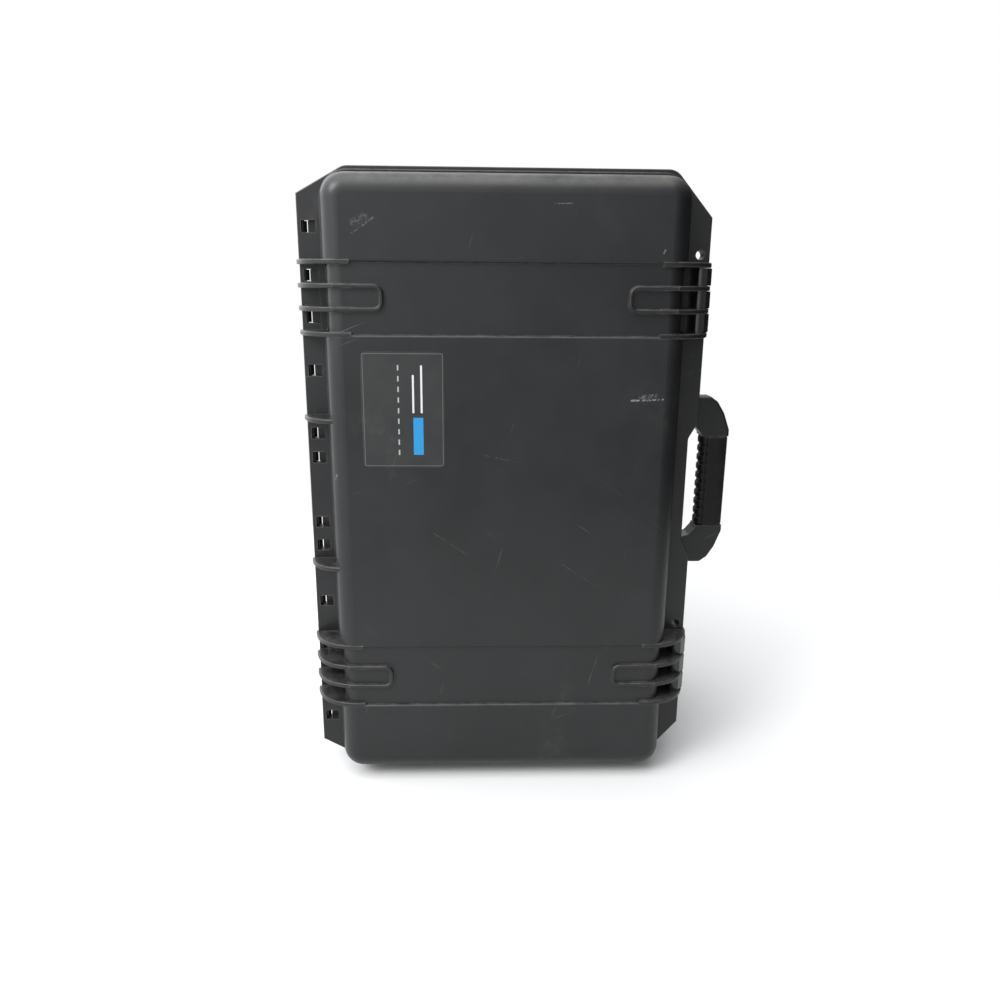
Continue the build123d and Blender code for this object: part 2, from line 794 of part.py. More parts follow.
def tube(x, bottom, top, radius, bore):
    return post(x, tube_y, bottom, top, radius) - post(x, tube_y, bottom - 1, top + 1, bore)


def bracket_block(low):
    """Block across the channel that holds both tubes, from this height up."""
    return block(-bracket_half, bracket_half, channel_floor,
                 channel_floor + channel_depth - bracket_play / 2, low, low + collar_height)


def make_trolley_base():
    """What is fixed to the case: outer tubes, collar, bracket and screws."""
    parts = {}
    collar = bracket_block(tube_top - collar_height)
    bracket = bracket_block(tube_bottom)
    screws = []
    for name, side in (("left", -1), ("right", 1)):
        x = side * tube_x
        body = tube(x, tube_bottom + tube_seat, tube_top, outer_tube_radius, outer_tube_bore)
        near, far = sorted((x - side * (outer_tube_radius + 1), x - side * 5))
        half = lock_pin_radius + slot_play
        body -= block(near, far, tube_y - half, tube_y + half,
                      lock_pin_z - 3 * half, lock_pin_z + trolley_travel + 3 * half)
        parts[f"trolley_outer_tube_{name}"] = body
        collar -= post(x, tube_y, tube_top - 2 * collar_height, tube_top + 1, outer_tube_radius)
        bracket -= post(x, tube_y, tube_bottom + tube_seat, tube_bottom + 2 * collar_height,
                        outer_tube_radius)
        for low in (tube_bottom, tube_top - collar_height):
            screw, hole = channel_screw(side * screw_x, low + collar_height / 2)
            screws.append(screw)
            collar -= hole
            bracket -= hole
    window = block(-bracket_window, bracket_window, channel_floor - 1, back_wall,
                   tube_bottom + bracket_floor, tube_bottom + 2 * collar_height)
    parts["trolley_top_collar"] = fillet(collar.edges().filter_by(Axis.X), collar_round)
    parts["trolley_bottom_bracket"] = bracket - window
    parts["trolley_screws"] = Compound(screws)
    return parts


def channel_screw(x, z):
    """Screw from inside the case through the channel floor, and its hole in the block."""
    inside = channel_floor - wall
    shank = bar_y(x, z, inside, channel_floor + screw_length, screw_radius)
    head = bar_y(x, z, inside - screw_head, inside, screw_head_radius)
    hole = bar_y(x, z, channel_floor - 1, channel_floor + screw_length + 0.5,
                 screw_radius + screw_play)
    return shank + head, hole


def make_trolley():
    """What slides: inner tubes, plugs, grip, button, rods and lock pins."""
    parts = {}
    half_depth = channel_depth / 2 - bracket_play
    depth = button_half_depth
    grip = block(-trolley_grip_half, trolley_grip_half, tube_y - half_depth, tube_y + half_depth,
                 trolley_grip_low, trolley_grip_high)
    grip = fillet(grip.edges().filter_by(Axis.X), trolley_grip_round)
    grip -= block(-tube_x - 5, tube_x + 5, tube_y - depth - 0.5, tube_y + depth + 0.5,
                  trolley_grip_low + trolley_grip_socket, trolley_grip_high - trolley_grip_wall)
    grip -= block(-button_half - button_play, button_half + button_play,
                  tube_y - depth - button_play, tube_y + depth + button_play,
                  trolley_grip_low + yoke_lift - 2, trolley_grip_high + 1)
    yoke_low = trolley_grip_low + yoke_lift
    button = block(-button_half, button_half, tube_y - depth, tube_y + depth, yoke_low,
                   trolley_grip_high + button_proud)
    button = fillet(button.faces().sort_by(Axis.Z)[-1].edges(), button_round)
    button += block(-tube_x - 3, tube_x + 3, tube_y - depth + 1, tube_y + depth - 1, yoke_low,
                    yoke_low + yoke_thick)
    plugs, rods = [], []
    for name, side in (("left", -1), ("right", 1)):
        x = side * tube_x
        top = trolley_grip_low + trolley_grip_socket
        grip -= post(x, tube_y, trolley_grip_low - 1, top + 1, inner_tube_radius)
        parts[f"trolley_inner_tube_{name}"] = inner_tube(x, side, top)
        plugs.append(tube_plug(x, side))
        rods.append(post(x, tube_y, lock_pin_z + rod_foot, yoke_low, rod_radius))
        low, high = sorted((x - side * (outer_tube_bore + lock_pin_reach),
                            x + side * lock_pin_tail))
        parts[f"trolley_lock_pin_{name}"] = bar_x(tube_y, lock_pin_z, low, high, lock_pin_radius)
    parts["trolley_grip"] = grip
    parts["trolley_tube_plugs"] = Compound(plugs)
    parts["trolley_button"] = button
    parts["trolley_pull_rods"] = Compound(rods)
    return parts


def inner_tube(x, side, top):
    """Sliding tube with the hole that its lock pin passes."""
    low, high = sorted((x, x - side * (inner_tube_radius + 3)))
    hole = bar_x(tube_y, lock_pin_z, low, high, lock_pin_radius + running_fit)
    return tube(x, inner_tube_bottom, top, inner_tube_radius, inner_tube_bore) - hole


def tube_plug(x, side):
    """Plug in a sliding tube's end, with the lock pin's bore and the pull rod's."""
    plug = post(x, tube_y, inner_tube_bottom, inner_tube_bottom + plug_length, inner_tube_bore)
    low, high = sorted((x + side * lock_pin_pocket, x - side * past))
    plug -= bar_x(tube_y, lock_pin_z, low, high, lock_pin_radius + running_fit)
    return plug - post(x, tube_y, lock_pin_z, lock_pin_z + beyond, rod_radius + rod_play)


def make_wheels():
    parts = {}
    outer_x = wheel_inner_x + wheel_width
    for name, side in (("left", -1), ("right", 1)):
        def lying(x0, x1, radius, side=side):
            low, high = sorted((side * x0, side * x1))
            return bar_x(wheel_y, wheel_z, low, high, radius)
        bore = lying(wheel_inner_x - 1, outer_x + 1, axle_radius + bush_wall)
        tyre = fillet(lying(wheel_inner_x, outer_x, wheel_radius).edges(), tyre_round)
        hub = lying(wheel_inner_x, outer_x, wheel_hub_radius)
        hub -= lying(outer_x - hub_dish, outer_x + 1, wheel_hub_radius - hub_rim)
        hub += lying(wheel_inner_x, outer_x, hub_boss_radius)
        for step in range(hub_hole_count):
            turn = 2 * math.pi * step / hub_hole_count
            low, high = sorted((side * (wheel_inner_x - 1), side * (outer_x + 1)))
            hub -= bar_x(wheel_y + hub_hole_circle * math.cos(turn),
                         wheel_z + hub_hole_circle * math.sin(turn), low, high, hub_hole_radius)
        bush = lying(wheel_inner_x, outer_x, axle_radius + bush_wall)
        axle = lying(well_inner_x - axle_boss_length + axle_seat, outer_x + axle_head_play,
                     axle_radius)
        axle += lying(outer_x + axle_head_play, outer_x + axle_head_play + axle_head,
                      axle_head_radius)
        parts[f"wheel_tyre_{name}"] = tyre - lying(wheel_inner_x - 1, outer_x + 1,
                                                   wheel_hub_radius)
        parts[f"wheel_hub_{name}"] = hub - bore
        parts[f"wheel_bush_{name}"] = bush - lying(wheel_inner_x - 1, outer_x + 1,
                                                   axle_radius + running_fit)
        parts[f"wheel_axle_{name}"] = axle
    return parts


def make_feet():
    feet, screws = [], []
    head_low = floor_z + foot_screw_lift
    shank_low = head_low + foot_screw_head
    for side in (1, -1):
        x = side * foot_x
        foot = block(x - foot_length / 2, x + foot_length / 2, foot_y - foot_width / 2,
                     foot_y + foot_width / 2, floor_z, floor_z + foot_height)
        foot = fillet(foot.edges().filter_by(Axis.Z), foot_corner)
        for shift in (-foot_screw_spread, foot_screw_spread):
            foot -= post(x + shift, foot_y, floor_z - 1, shank_low,
                         foot_screw_head_radius + foot_hole_play)
            foot -= post(x + shift, foot_y, head_low, floor_z + past,
                         foot_screw_radius + foot_hole_play)
            screw = post(x + shift, foot_y, head_low, shank_low, foot_screw_head_radius)
            screw += post(x + shift, foot_y, shank_low, head_low + foot_screw_length,
                          foot_screw_radius)
            screws.append(screw)
        feet.append(foot)
    return {"standing_feet": Compound(feet), "foot_screws": Compound(screws)}


def make_valve():
    def lying(x0, x1, radius):
        return bar_x(valve_y, valve_z, x0, x1, radius)
    pad = valve_pad_x
    seat = pad + valve_seal_thick
    well = seat + 2
    nut_start = wall_half_width - past + 7
    seal = lying(pad, seat, valve_flange_radius - 1)
    seal -= lying(pad - 1, seat + 1, valve_shank_radius)
    body = lying(seat, seat + valve_flange_height, valve_flange_radius)
    body += lying(wall_half_width - valve_tail, seat, valve_shank_radius - valve_shank_play)
    body -= lying(wall_half_width - past, pad + past, valve_bore)
    body -= lying(well, pad + past, valve_flange_radius - valve_rim)
    cap = lying(well, well + valve_cap_height, valve_flange_radius - valve_rim - valve_cap_play)
    for step in (-1, 0, 1):
        z = valve_z + valve_slot_pitch * step
        cap -= block(well + 2.5, pad + past, valve_y - 6, valve_y + 6, z - valve_slot_half,
                     z + valve_slot_half)
    nut_face = Plane.YZ.offset(nut_start) * Pos(valve_y, valve_z)
    nut_face = nut_face * RegularPolygon(valve_nut_radius, 6)
    nut = extrude(nut_face, amount=valve_nut_thick, dir=(1, 0, 0))
    nut -= lying(wall_half_width - past, pad, valve_shank_radius - valve_shank_play)
    return {"valve_body": body, "valve_seal": seal, "valve_cap": cap, "valve_nut": nut}


def foam_strips():
    """Front-view boxes of the strips round three pockets: one wide above, two below."""
    side = wall_half_width - wall - band_depth - foam_play - foam_rail
    end = wall_half_height - wall - band_depth - foam_play - foam_end
    cross_low, cross_high = foam_cross_z - foam_cross / 2, foam_cross_z + foam_cross / 2
    return [(-beyond, -side, -beyond, beyond), (side, beyond, -beyond, beyond),
            (-side, side, end, beyond), (-side, side, -beyond, -end),
            (-side, side, cross_low, cross_high),
            (-foam_middle / 2, foam_middle / 2, -end, cross_low)]


def make_foam():
    """Glued foam strips round the pockets and a floor pad in the base, and a lid pad."""
    inset = wall + band_depth + foam_play
    whole = base_tub(inset)
    for shape in hollows(wall + foam_channel_play):
        whole -= shape
    for side in (1, -1):
        x0, x1 = sorted((side * (well_inner_x - axle_boss_length - 2), side * well_inner_x))
        whole -= bar_x(wheel_y, wheel_z, x0, x1, axle_boss_radius + 2)
    block_form = base_tub(inset) & block(-beyond, beyond, foam_front, pocket_floor, -beyond,
                                         beyond)
    block_form -= bar_x(valve_y, valve_z, wall_half_width - 2 * past, wall_half_width + past,
                        valve_flange_radius + 3)
    strips = [block_form & block(x0, x1, 0, back_wall, z0, z1)
              for x0, x1, z0, z1 in foam_strips()]
    pad = whole & block(-beyond, beyond, pocket_floor, back_wall, -beyond, beyond)
    lid = lid_tub(inset) - block(-beyond, beyond, lid_foam_front, beyond, -beyond, beyond)
    solids = [solid for strip in strips for solid in strip.solids()]
    return {"base_foam": Compound(solids), "base_floor_pad": pad, "lid_foam": lid}


def make_label():
    left = label_from_wall - wall_half_width
    face = Pos(left + label_width / 2, label_low_z + label_height / 2)
    face = face * RectangleRounded(label_width, label_height, label_round)
    return {"label_sticker": prism(face, -lid_depth - label_thick, -lid_depth)}


def main():
    parts = {"base_shell": make_base_shell(), "lid_shell": make_lid_shell()}
    for group in (make_hinge_rods, make_gasket, make_foam, make_label, make_latches, make_handle,
                  make_trolley_base, make_trolley, make_wheels, make_feet, make_valve):
        parts.update(group())
    os.makedirs("parts", exist_ok=True)
    for name, shape in parts.items():
        export_step(place(shape), f"parts/{name}.step")


main()
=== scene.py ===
import json
import math

import bmesh
import bpy
import numpy as np
from mathutils import Matrix, Vector


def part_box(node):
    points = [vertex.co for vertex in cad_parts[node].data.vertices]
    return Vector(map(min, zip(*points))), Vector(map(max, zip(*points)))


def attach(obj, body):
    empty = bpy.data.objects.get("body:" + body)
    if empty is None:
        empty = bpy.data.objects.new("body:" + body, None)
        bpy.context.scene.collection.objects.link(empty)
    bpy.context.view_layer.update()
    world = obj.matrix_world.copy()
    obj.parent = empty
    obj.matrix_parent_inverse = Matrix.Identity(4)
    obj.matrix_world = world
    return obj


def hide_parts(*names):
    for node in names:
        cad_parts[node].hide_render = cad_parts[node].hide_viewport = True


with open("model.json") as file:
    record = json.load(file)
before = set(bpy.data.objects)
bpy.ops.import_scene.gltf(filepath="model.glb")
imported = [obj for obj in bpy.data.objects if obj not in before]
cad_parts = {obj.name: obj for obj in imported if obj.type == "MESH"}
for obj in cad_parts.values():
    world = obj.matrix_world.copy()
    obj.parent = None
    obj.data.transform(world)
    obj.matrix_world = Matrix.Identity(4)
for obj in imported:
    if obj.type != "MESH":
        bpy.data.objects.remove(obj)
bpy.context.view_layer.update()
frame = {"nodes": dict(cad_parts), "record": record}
record = frame["record"]
nodes = frame["nodes"]
openings = {opening["name"]: opening["box_m"] for opening in record["physics"]["openings"]}
print("frame loaded,", len(nodes), "nodes")


# camera, standing in front of the case and looking a little down and to the right
view = {
    "place": (-0.04561, -0.81084, 0.46596),
    "right": (0.99952, -0.02996, 0.00848),
    "up": (-0.00035, 0.26156, 0.96519),
    "back": (-0.03114, -0.96472, 0.26142),
    "lens": 29.59,
    "sensor": 36.0,
}


def makeCamera():
    data = bpy.data.cameras.new("caseCamera")
    data.lens = view["lens"]
    data.sensor_width = view["sensor"]
    data.clip_start = 0.01
    camera = bpy.data.objects.new("caseCamera", data)
    bpy.context.scene.collection.objects.link(camera)
    turn = Matrix((view["right"], view["up"], view["back"])).transposed()
    camera.matrix_world = Matrix.Translation(view["place"]) @ turn.to_4x4()
    bpy.context.scene.camera = camera


# meshes from arrays of points

def linkMesh(name, mesh):
    piece = bpy.data.objects.new(name, mesh)
    bpy.context.scene.collection.objects.link(piece)
    return piece


def gridMesh(name, points, closedRows=False, closedCols=False, sharp=40.0, uv=None):
    # points[i, j] is the surface at the i-th step of one parameter and the j-th of the other;
    # each quad joins four neighbours, and a closed direction joins its last row to its first
    rows, cols = points.shape[:2]
    i = np.arange(rows if closedRows else rows - 1)
    j = np.arange(cols if closedCols else cols - 1)
    a, b = np.meshgrid(i, j, indexing="ij")
    a1, b1 = (a + 1) % rows, (b + 1) % cols
    quads = np.stack([a * cols + b, a1 * cols + b, a1 * cols + b1, a * cols + b1], axis=-1)
    quads = quads.reshape(-1, 4)
    mesh = bpy.data.meshes.new(name)
    mesh.vertices.add(rows * cols)
    mesh.vertices.foreach_set("co", points.reshape(-1).astype(np.float32))
    mesh.loops.add(quads.size)
    mesh.loops.foreach_set("vertex_index", quads.reshape(-1).astype(np.int32))
    mesh.polygons.add(len(quads))
    mesh.polygons.foreach_set("loop_start", np.arange(0, quads.size, 4, dtype=np.int32))
    mesh.update(calc_edges=True)
    if uv is not None:
        layer = mesh.uv_layers.new(name="surface")
        layer.data.foreach_set("uv", uv.reshape(-1, 2)[quads.reshape(-1)].reshape(-1))
    return finishMesh(name, mesh, sharp)


def joinMeshes(name, pieces):
    # several grid meshes made one piece
    form = bmesh.new()
    for piece in pieces:
        form.from_mesh(piece.data)
        mesh = piece.data
        bpy.data.objects.remove(piece)
        bpy.data.meshes.remove(mesh)
    mesh = bpy.data.meshes.new(name)
    form.to_mesh(mesh)
    form.free()
    return linkMesh(name, mesh)


def finishMesh(name, mesh, sharp):
    # doubles merged at poles and seams, faces turned outwards, edges sharper than the angle kept
    form = bmesh.new()
    form.from_mesh(mesh)
    bmesh.ops.remove_doubles(form, verts=form.verts, dist=1e-6)
    bmesh.ops.dissolve_degenerate(form, dist=1e-7, edges=form.edges)
    bmesh.ops.recalc_face_normals(form, faces=form.faces)
    form.to_mesh(mesh)
    form.free()
    mesh.shade_smooth()
    mesh.set_sharp_from_angle(angle=math.radians(sharp))
    return linkMesh(name, mesh)


def roundedLoop(x0, x1, z0, z1, radii, side=24, corner=10):
    # closed path round a rectangle in the front plane: four quarter circles of the given
    # radii, joined by straight stretches of evenly spaced points
    signs = [(1, 1), (-1, 1), (-1, -1), (1, -1)]
    arcs = []
    for index, (sx, sz) in enumerate(signs):
        angle = np.radians(90 * index + np.linspace(0, 90, corner))
        r = radii[index]
        cx = (x1 - r) if sx > 0 else (x0 + r)
        cz = (z1 - r) if sz > 0 else (z0 + r)
        arcs.append(np.stack([cx + r * np.cos(angle), cz + r * np.sin(angle)], axis=-1))
    stretches = []
    for index, arc in enumerate(arcs):
        follow = arcs[(index + 1) % 4]
        step = np.linspace(0, 1, side + 2)[1:-1, None]
        stretches += [arc, arc[-1] * (1 - step) + follow[0] * step]
    return np.concatenate(stretches)


def loopNormals(loop):
    # outward unit normals of a closed path in the front plane
    along = np.roll(loop, -1, axis=0) - np.roll(loop, 1, axis=0)
    normal = np.stack([along[:, 1], -along[:, 0]], axis=-1)
    return normal / np.linalg.norm(normal, axis=1, keepdims=True)


def ripple(x, z, seed, size, waves=7):
    # smooth unevenness: a sum of sine waves in fixed random directions, between -1 and 1
    random = np.random.default_rng(seed)
    total = np.zeros_like(x)
    for _ in range(waves):
        angle, phase = random.uniform(0, 2 * np.pi, 2)
        length = size * random.uniform(0.6, 1.8)
        total += np.sin(2 * np.pi * (x * np.cos(angle) + z * np.sin(angle)) / length + phase)
    return total / waves


# shader building blocks

def addNode(tree, kind, inputs=None, **settings):
    node = tree.nodes.new(kind)
    for key, value in settings.items():
        setattr(node, key, value)
    for key, value in (inputs or {}).items():
        if isinstance(value, bpy.types.NodeSocket):
            tree.links.new(value, node.inputs[key])
        else:
            node.inputs[key].default_value = value
    return node


def newGroup(name, inputs, outputs):
    group = bpy.data.node_groups.new(name, "ShaderNodeTree")
    for label, value in inputs:
        socket = group.interface.new_socket(label, in_out="INPUT", socket_type="NodeSocketFloat")
        socket.default_value = value
    for label in outputs:
        group.interface.new_socket(label, in_out="OUTPUT", socket_type="NodeSocketFloat")
    return group, addNode(group, "NodeGroupInput").outputs, addNode(group, "NodeGroupOutput")


def useGroup(tree, group, **values):
    node = addNode(tree, "ShaderNodeGroup", node_tree=group)
    for key, value in values.items():
        node.inputs[key].default_value = value
    return node.outputs


def calc(tree, operation, a, b=0.0, clamp=False):
    return addNode(tree, "ShaderNodeMath", {0: a, 1: b}, operation=operation,
                   use_clamp=clamp).outputs[0]


def ramp(tree, value, low, high, toLow=0.0, toHigh=1.0):
    # straight-line change from toLow to toHigh while the value goes from low to high
    return addNode(tree, "ShaderNodeMapRange", {"Value": value, "From Min": low, "From Max": high,
                                                "To Min": toLow, "To Max": toHigh}).outputs[0]


def noise(tree, place, scale, detail=3.0, rough=0.55):
    return addNode(tree, "ShaderNodeTexNoise", {"Vector": place, "Scale": scale, "Detail": detail,
                                                "Roughness": rough}).outputs["Fac"]


def mixColour(tree, mask, first, second):
    return addNode(tree, "ShaderNodeMix", {0: mask, 6: first, 7: second},
                   data_type="RGBA").outputs[2]


def grey(level, blue=1.0):
    return (level, level, level * blue, 1.0)


def makeGrainGroup():
    # mould texture: fine grain for bumps, and broad cloudy patches
    group, given, out = newGroup("mouldGrain", [("grainScale", 900.0), ("cloudScale", 14.0)],
                                 ["height", "cloud"])
    place = addNode(group, "ShaderNodeTexCoord").outputs["Object"]
    fine = noise(group, place, given["grainScale"], 4.0, 0.65)
    pebble = addNode(group, "ShaderNodeTexVoronoi", {"Vector": place, "Scale": given["grainScale"]})
    height = calc(group, "ADD", fine, calc(group, "MULTIPLY", pebble.outputs["Distance"], 0.5))
    broad = noise(group, place, given["cloudScale"], 5.0, 0.62)
    group.links.new(height, out.inputs["height"])
    group.links.new(ramp(group, broad, 0.3, 0.7), out.inputs["cloud"])
    return group


def makeEdgeGroup():
    # edge mask for worn edges, and on the shell for painted highlight along edges and bead crests:
    # where a rounded normal leaves the true one, broken up by noise
    group, given, out = newGroup("edgeWearAndHighlight", [("radius", 0.0012), ("breakUp", 0.5)], ["mask"])
    place = addNode(group, "ShaderNodeTexCoord").outputs["Object"]
    soft = addNode(group, "ShaderNodeBevel", {"Radius": given["radius"]}, samples=4)
    true = addNode(group, "ShaderNodeNewGeometry").outputs["Normal"]
    match = addNode(group, "ShaderNodeVectorMath", {0: soft.outputs[0], 1: true},
                    operation="DOT_PRODUCT").outputs["Value"]
    bend = ramp(group, match, 0.985, 0.85)
    patch = noise(group, place, 120.0, 4.0, 0.7)
    broken = ramp(group, calc(group, "SUBTRACT", patch, given["breakUp"]), -0.12, 0.12)
    group.links.new(calc(group, "MULTIPLY", bend, broken, True), out.inputs["mask"])
    return group


def makeScuffGroup():
    # handling marks: thin scratches in three directions, and soft rubbed patches
    group, given, out = newGroup("handlingMarks", [("amount", 0.5), ("fineness", 1.0)],
                                 ["scratch", "rub"])
    place = addNode(group, "ShaderNodeTexCoord").outputs["Object"]
    lines = None
    for turn, shift in ((0.4, 0.0), (1.3, 3.1), (2.5, 7.7)):
        turned = addNode(group, "ShaderNodeMapping", {"Vector": place,
                                                      "Location": (shift, shift, shift),
                                                      "Rotation": (0.2, turn, 0.1)}).outputs[0]
        thin = addNode(group, "ShaderNodeVectorMath", {0: turned, 1: (14.0, 60.0, 420.0)},
                       operation="MULTIPLY").outputs[0]
        streak = ramp(group, noise(group, thin, given["fineness"], 2.0, 0.5), 0.735, 0.79)
        lines = streak if lines is None else calc(group, "MAXIMUM", lines, streak)
    where = ramp(group, noise(group, place, 9.0, 3.0, 0.6), 0.46, 0.68)
    scratch = calc(group, "MULTIPLY", calc(group, "MULTIPLY", lines, where), given["amount"], True)
    patch = calc(group, "MULTIPLY", ramp(group, noise(group, place, 22.0, 6.0, 0.75), 0.56, 0.8),
                  ramp(group, noise(group, place, 6.0, 2.0, 0.5), 0.45, 0.65))
    group.links.new(scratch, out.inputs["scratch"])
    group.links.new(calc(group, "MULTIPLY", patch, given["amount"], True), out.inputs["rub"])
    return group


def makeDustGroup():
    # settled dust: on faces that look up, in uneven patches
    group, given, out = newGroup("settledDust", [("amount", 0.3)], ["mask"])
    place = addNode(group, "ShaderNodeTexCoord").outputs["Object"]
    true = addNode(group, "ShaderNodeNewGeometry").outputs["Normal"]
    upward = addNode(group, "ShaderNodeSeparateXYZ", {0: true}).outputs["Z"]
    lies = ramp(group, upward, 0.3, 0.95)
    patch = ramp(group, noise(group, place, 60.0, 6.0, 0.7), 0.35, 0.7)
    mask = calc(group, "MULTIPLY", calc(group, "MULTIPLY", lies, patch), given["amount"], True)
    group.links.new(mask, out.inputs["mask"])
    return group


def makeBrushGroup():
    # drawn or turned metal: noise stretched along one direction of the piece
    group, given, out = newGroup("drawnMetal", [("along", 6.0), ("across", 900.0)], ["lines"])
    place = addNode(group, "ShaderNodeTexCoord").outputs["Object"]
    axes = addNode(group, "ShaderNodeSeparateXYZ", {0: place}).outputs
    flat = addNode(group, "ShaderNodeCombineXYZ", {
        0: calc(group, "MULTIPLY", axes[0], given["across"]),
        1: calc(group, "MULTIPLY", axes[1], given["across"]),
        2: calc(group, "MULTIPLY", axes[2], given["along"])}).outputs[0]
    group.links.new(noise(group, flat, 1.0, 3.0, 0.6), out.inputs["lines"])
    return group


groups = {
    "grain": makeGrainGroup(),
    "edge": makeEdgeGroup(),
    "scuff": makeScuffGroup(),
    "dust": makeDustGroup(),
    "brush": makeBrushGroup(),
}
print("shader groups made")


def startMaterial(name, **constants):
    material = bpy.data.materials.new(name)
    material.use_nodes = True
    tree = material.node_tree
    shader = tree.nodes["Principled BSDF"]
    for key, value in constants.items():
        shader.inputs[key.replace("_", " ")].default_value = value
    return material, tree, shader


def bumpFrom(tree, shader, height, strength, distance):
    bump = addNode(tree, "ShaderNodeBump", {"Strength": strength, "Distance": distance,
                                            "Height": height})
    tree.links.new(bump.outputs[0], shader.inputs["Normal"])


def markMask(tree, start, end, width):
    # one scratch on the lid face: distance in the front plane to the line from start to end
    place = addNode(tree, "ShaderNodeTexCoord").outputs["Object"]
    axes = addNode(tree, "ShaderNodeSeparateXYZ", {0: place}).outputs
    dx, dz = end[0] - start[0], end[1] - start[1]
    span = dx * dx + dz * dz
    fromX = calc(tree, "SUBTRACT", axes[0], start[0])
    fromZ = calc(tree, "SUBTRACT", axes[2], start[1])
    along = calc(tree, "ADD", calc(tree, "MULTIPLY", fromX, dx / span),
                  calc(tree, "MULTIPLY", fromZ, dz / span), True)
    offX = calc(tree, "SUBTRACT", fromX, calc(tree, "MULTIPLY", along, dx))
    offZ = calc(tree, "SUBTRACT", fromZ, calc(tree, "MULTIPLY", along, dz))
    away = calc(tree, "SQRT", calc(tree, "ADD", calc(tree, "MULTIPLY", offX, offX),
                                     calc(tree, "MULTIPLY", offZ, offZ)))
    broken = ramp(tree, noise(tree, place, 520.0, 3.0, 0.7), 0.44, 0.62)
    front = ramp(tree, axes[1], lidFaceY + 0.012, lidFaceY + 0.004)
    line = calc(tree, "MULTIPLY", ramp(tree, away, width, width * 0.3), broken)
    return calc(tree, "MULTIPLY", line, front, True)


shellLook = {
    "dark": (0.0055, 0.0057, 0.0062, 1.0),
    "cloudy": (0.0095, 0.0098, 0.0104, 1.0),
    "rubbed": (0.042, 0.042, 0.041, 1.0),
    "scratched": (0.16, 0.16, 0.155, 1.0),
    # edge colour: worn edges and painted highlight along edges and bead crests
    "edge": (0.075, 0.074, 0.07, 1.0),
    "dust": (0.22, 0.21, 0.19, 1.0),
    "roughness": (0.34, 0.46),
}


def makeShellMaterial(name, marks=()):
    material, tree, shader = startMaterial(name, IOR=1.42)
    grain = useGroup(tree, groups["grain"], grainScale=1100.0, cloudScale=13.0)
    scuff = useGroup(tree, groups["scuff"], amount=0.5, fineness=1.0)
    edge = useGroup(tree, groups["edge"], radius=0.0016, breakUp=0.45)
    dust = useGroup(tree, groups["dust"], amount=0.22)
    colour = mixColour(tree, grain["cloud"], shellLook["dark"], shellLook["cloudy"])
    colour = mixColour(tree, scuff["rub"], colour, shellLook["rubbed"])
    colour = mixColour(tree, scuff["scratch"], colour, shellLook["scratched"])
    # edges and bead crests lightened: part wear, part painted highlight
    colour = mixColour(tree, edge["mask"], colour, shellLook["edge"])
    colour = mixColour(tree, dust["mask"], colour, shellLook["dust"])
    for start, end, width, strength in marks:
        mask = calc(tree, "MULTIPLY", markMask(tree, start, end, width), strength)
        colour = mixColour(tree, mask, colour, grey(0.42))
    tree.links.new(colour, shader.inputs["Base Color"])
    smooth, dull = shellLook["roughness"]
    rough = ramp(tree, grain["cloud"], 0.0, 1.0, smooth, dull)
    rough = calc(tree, "ADD", rough, calc(tree, "MULTIPLY", scuff["rub"], 0.12))
    rough = calc(tree, "ADD", rough, calc(tree, "MULTIPLY", edge["mask"], -0.08))
    tree.links.new(rough, shader.inputs["Roughness"])
    height = calc(tree, "SUBTRACT", grain["height"], calc(tree, "MULTIPLY", scuff["scratch"], 0.8))
    bumpFrom(tree, shader, height, 0.22, 0.00012)
    return material


def makeLatchMaterial():
    # smooth glossy moulding with fine swirl scratches
    material, tree, shader = startMaterial("glossyLatchPlastic", IOR=1.5)
    grain = useGroup(tree, groups["grain"], grainScale=500.0, cloudScale=40.0)
    scuff = useGroup(tree, groups["scuff"], amount=0.5, fineness=1.6)
    edge = useGroup(tree, groups["edge"], radius=0.0009, breakUp=0.5)
    colour = mixColour(tree, grain["cloud"], grey(0.006), grey(0.010))
    colour = mixColour(tree, scuff["scratch"], colour, grey(0.07))
    colour = mixColour(tree, edge["mask"], colour, grey(0.05))
    tree.links.new(colour, shader.inputs["Base Color"])
    rough = ramp(tree, grain["cloud"], 0.0, 1.0, 0.15, 0.27)
    tree.links.new(calc(tree, "ADD", rough, calc(tree, "MULTIPLY", scuff["rub"], 0.25)),
                   shader.inputs["Roughness"])
    bumpFrom(tree, shader, grain["height"], 0.05, 0.0001)
    return material


def makeRubberMaterial(name, level, roughness, grainScale, strength):
    # soft black rubber: matt, finely pebbled, dusty on top
    material, tree, shader = startMaterial(name, IOR=1.28, Sheen_Weight=0.02)
    grain = useGroup(tree, groups["grain"], grainScale=grainScale, cloudScale=45.0)
    scuff = useGroup(tree, groups["scuff"], amount=0.35, fineness=1.2)
    dust = useGroup(tree, groups["dust"], amount=0.35)
    colour = mixColour(tree, grain["cloud"], grey(level), grey(level * 1.8))
    colour = mixColour(tree, scuff["rub"], colour, grey(0.06))
    colour = mixColour(tree, dust["mask"], colour, (0.2, 0.19, 0.17, 1.0))
    tree.links.new(colour, shader.inputs["Base Color"])
    tree.links.new(ramp(tree, grain["cloud"], 0.0, 1.0, roughness - 0.08, roughness + 0.08),
                   shader.inputs["Roughness"])
    bumpFrom(tree, shader, grain["height"], strength, 0.0002)
    return material


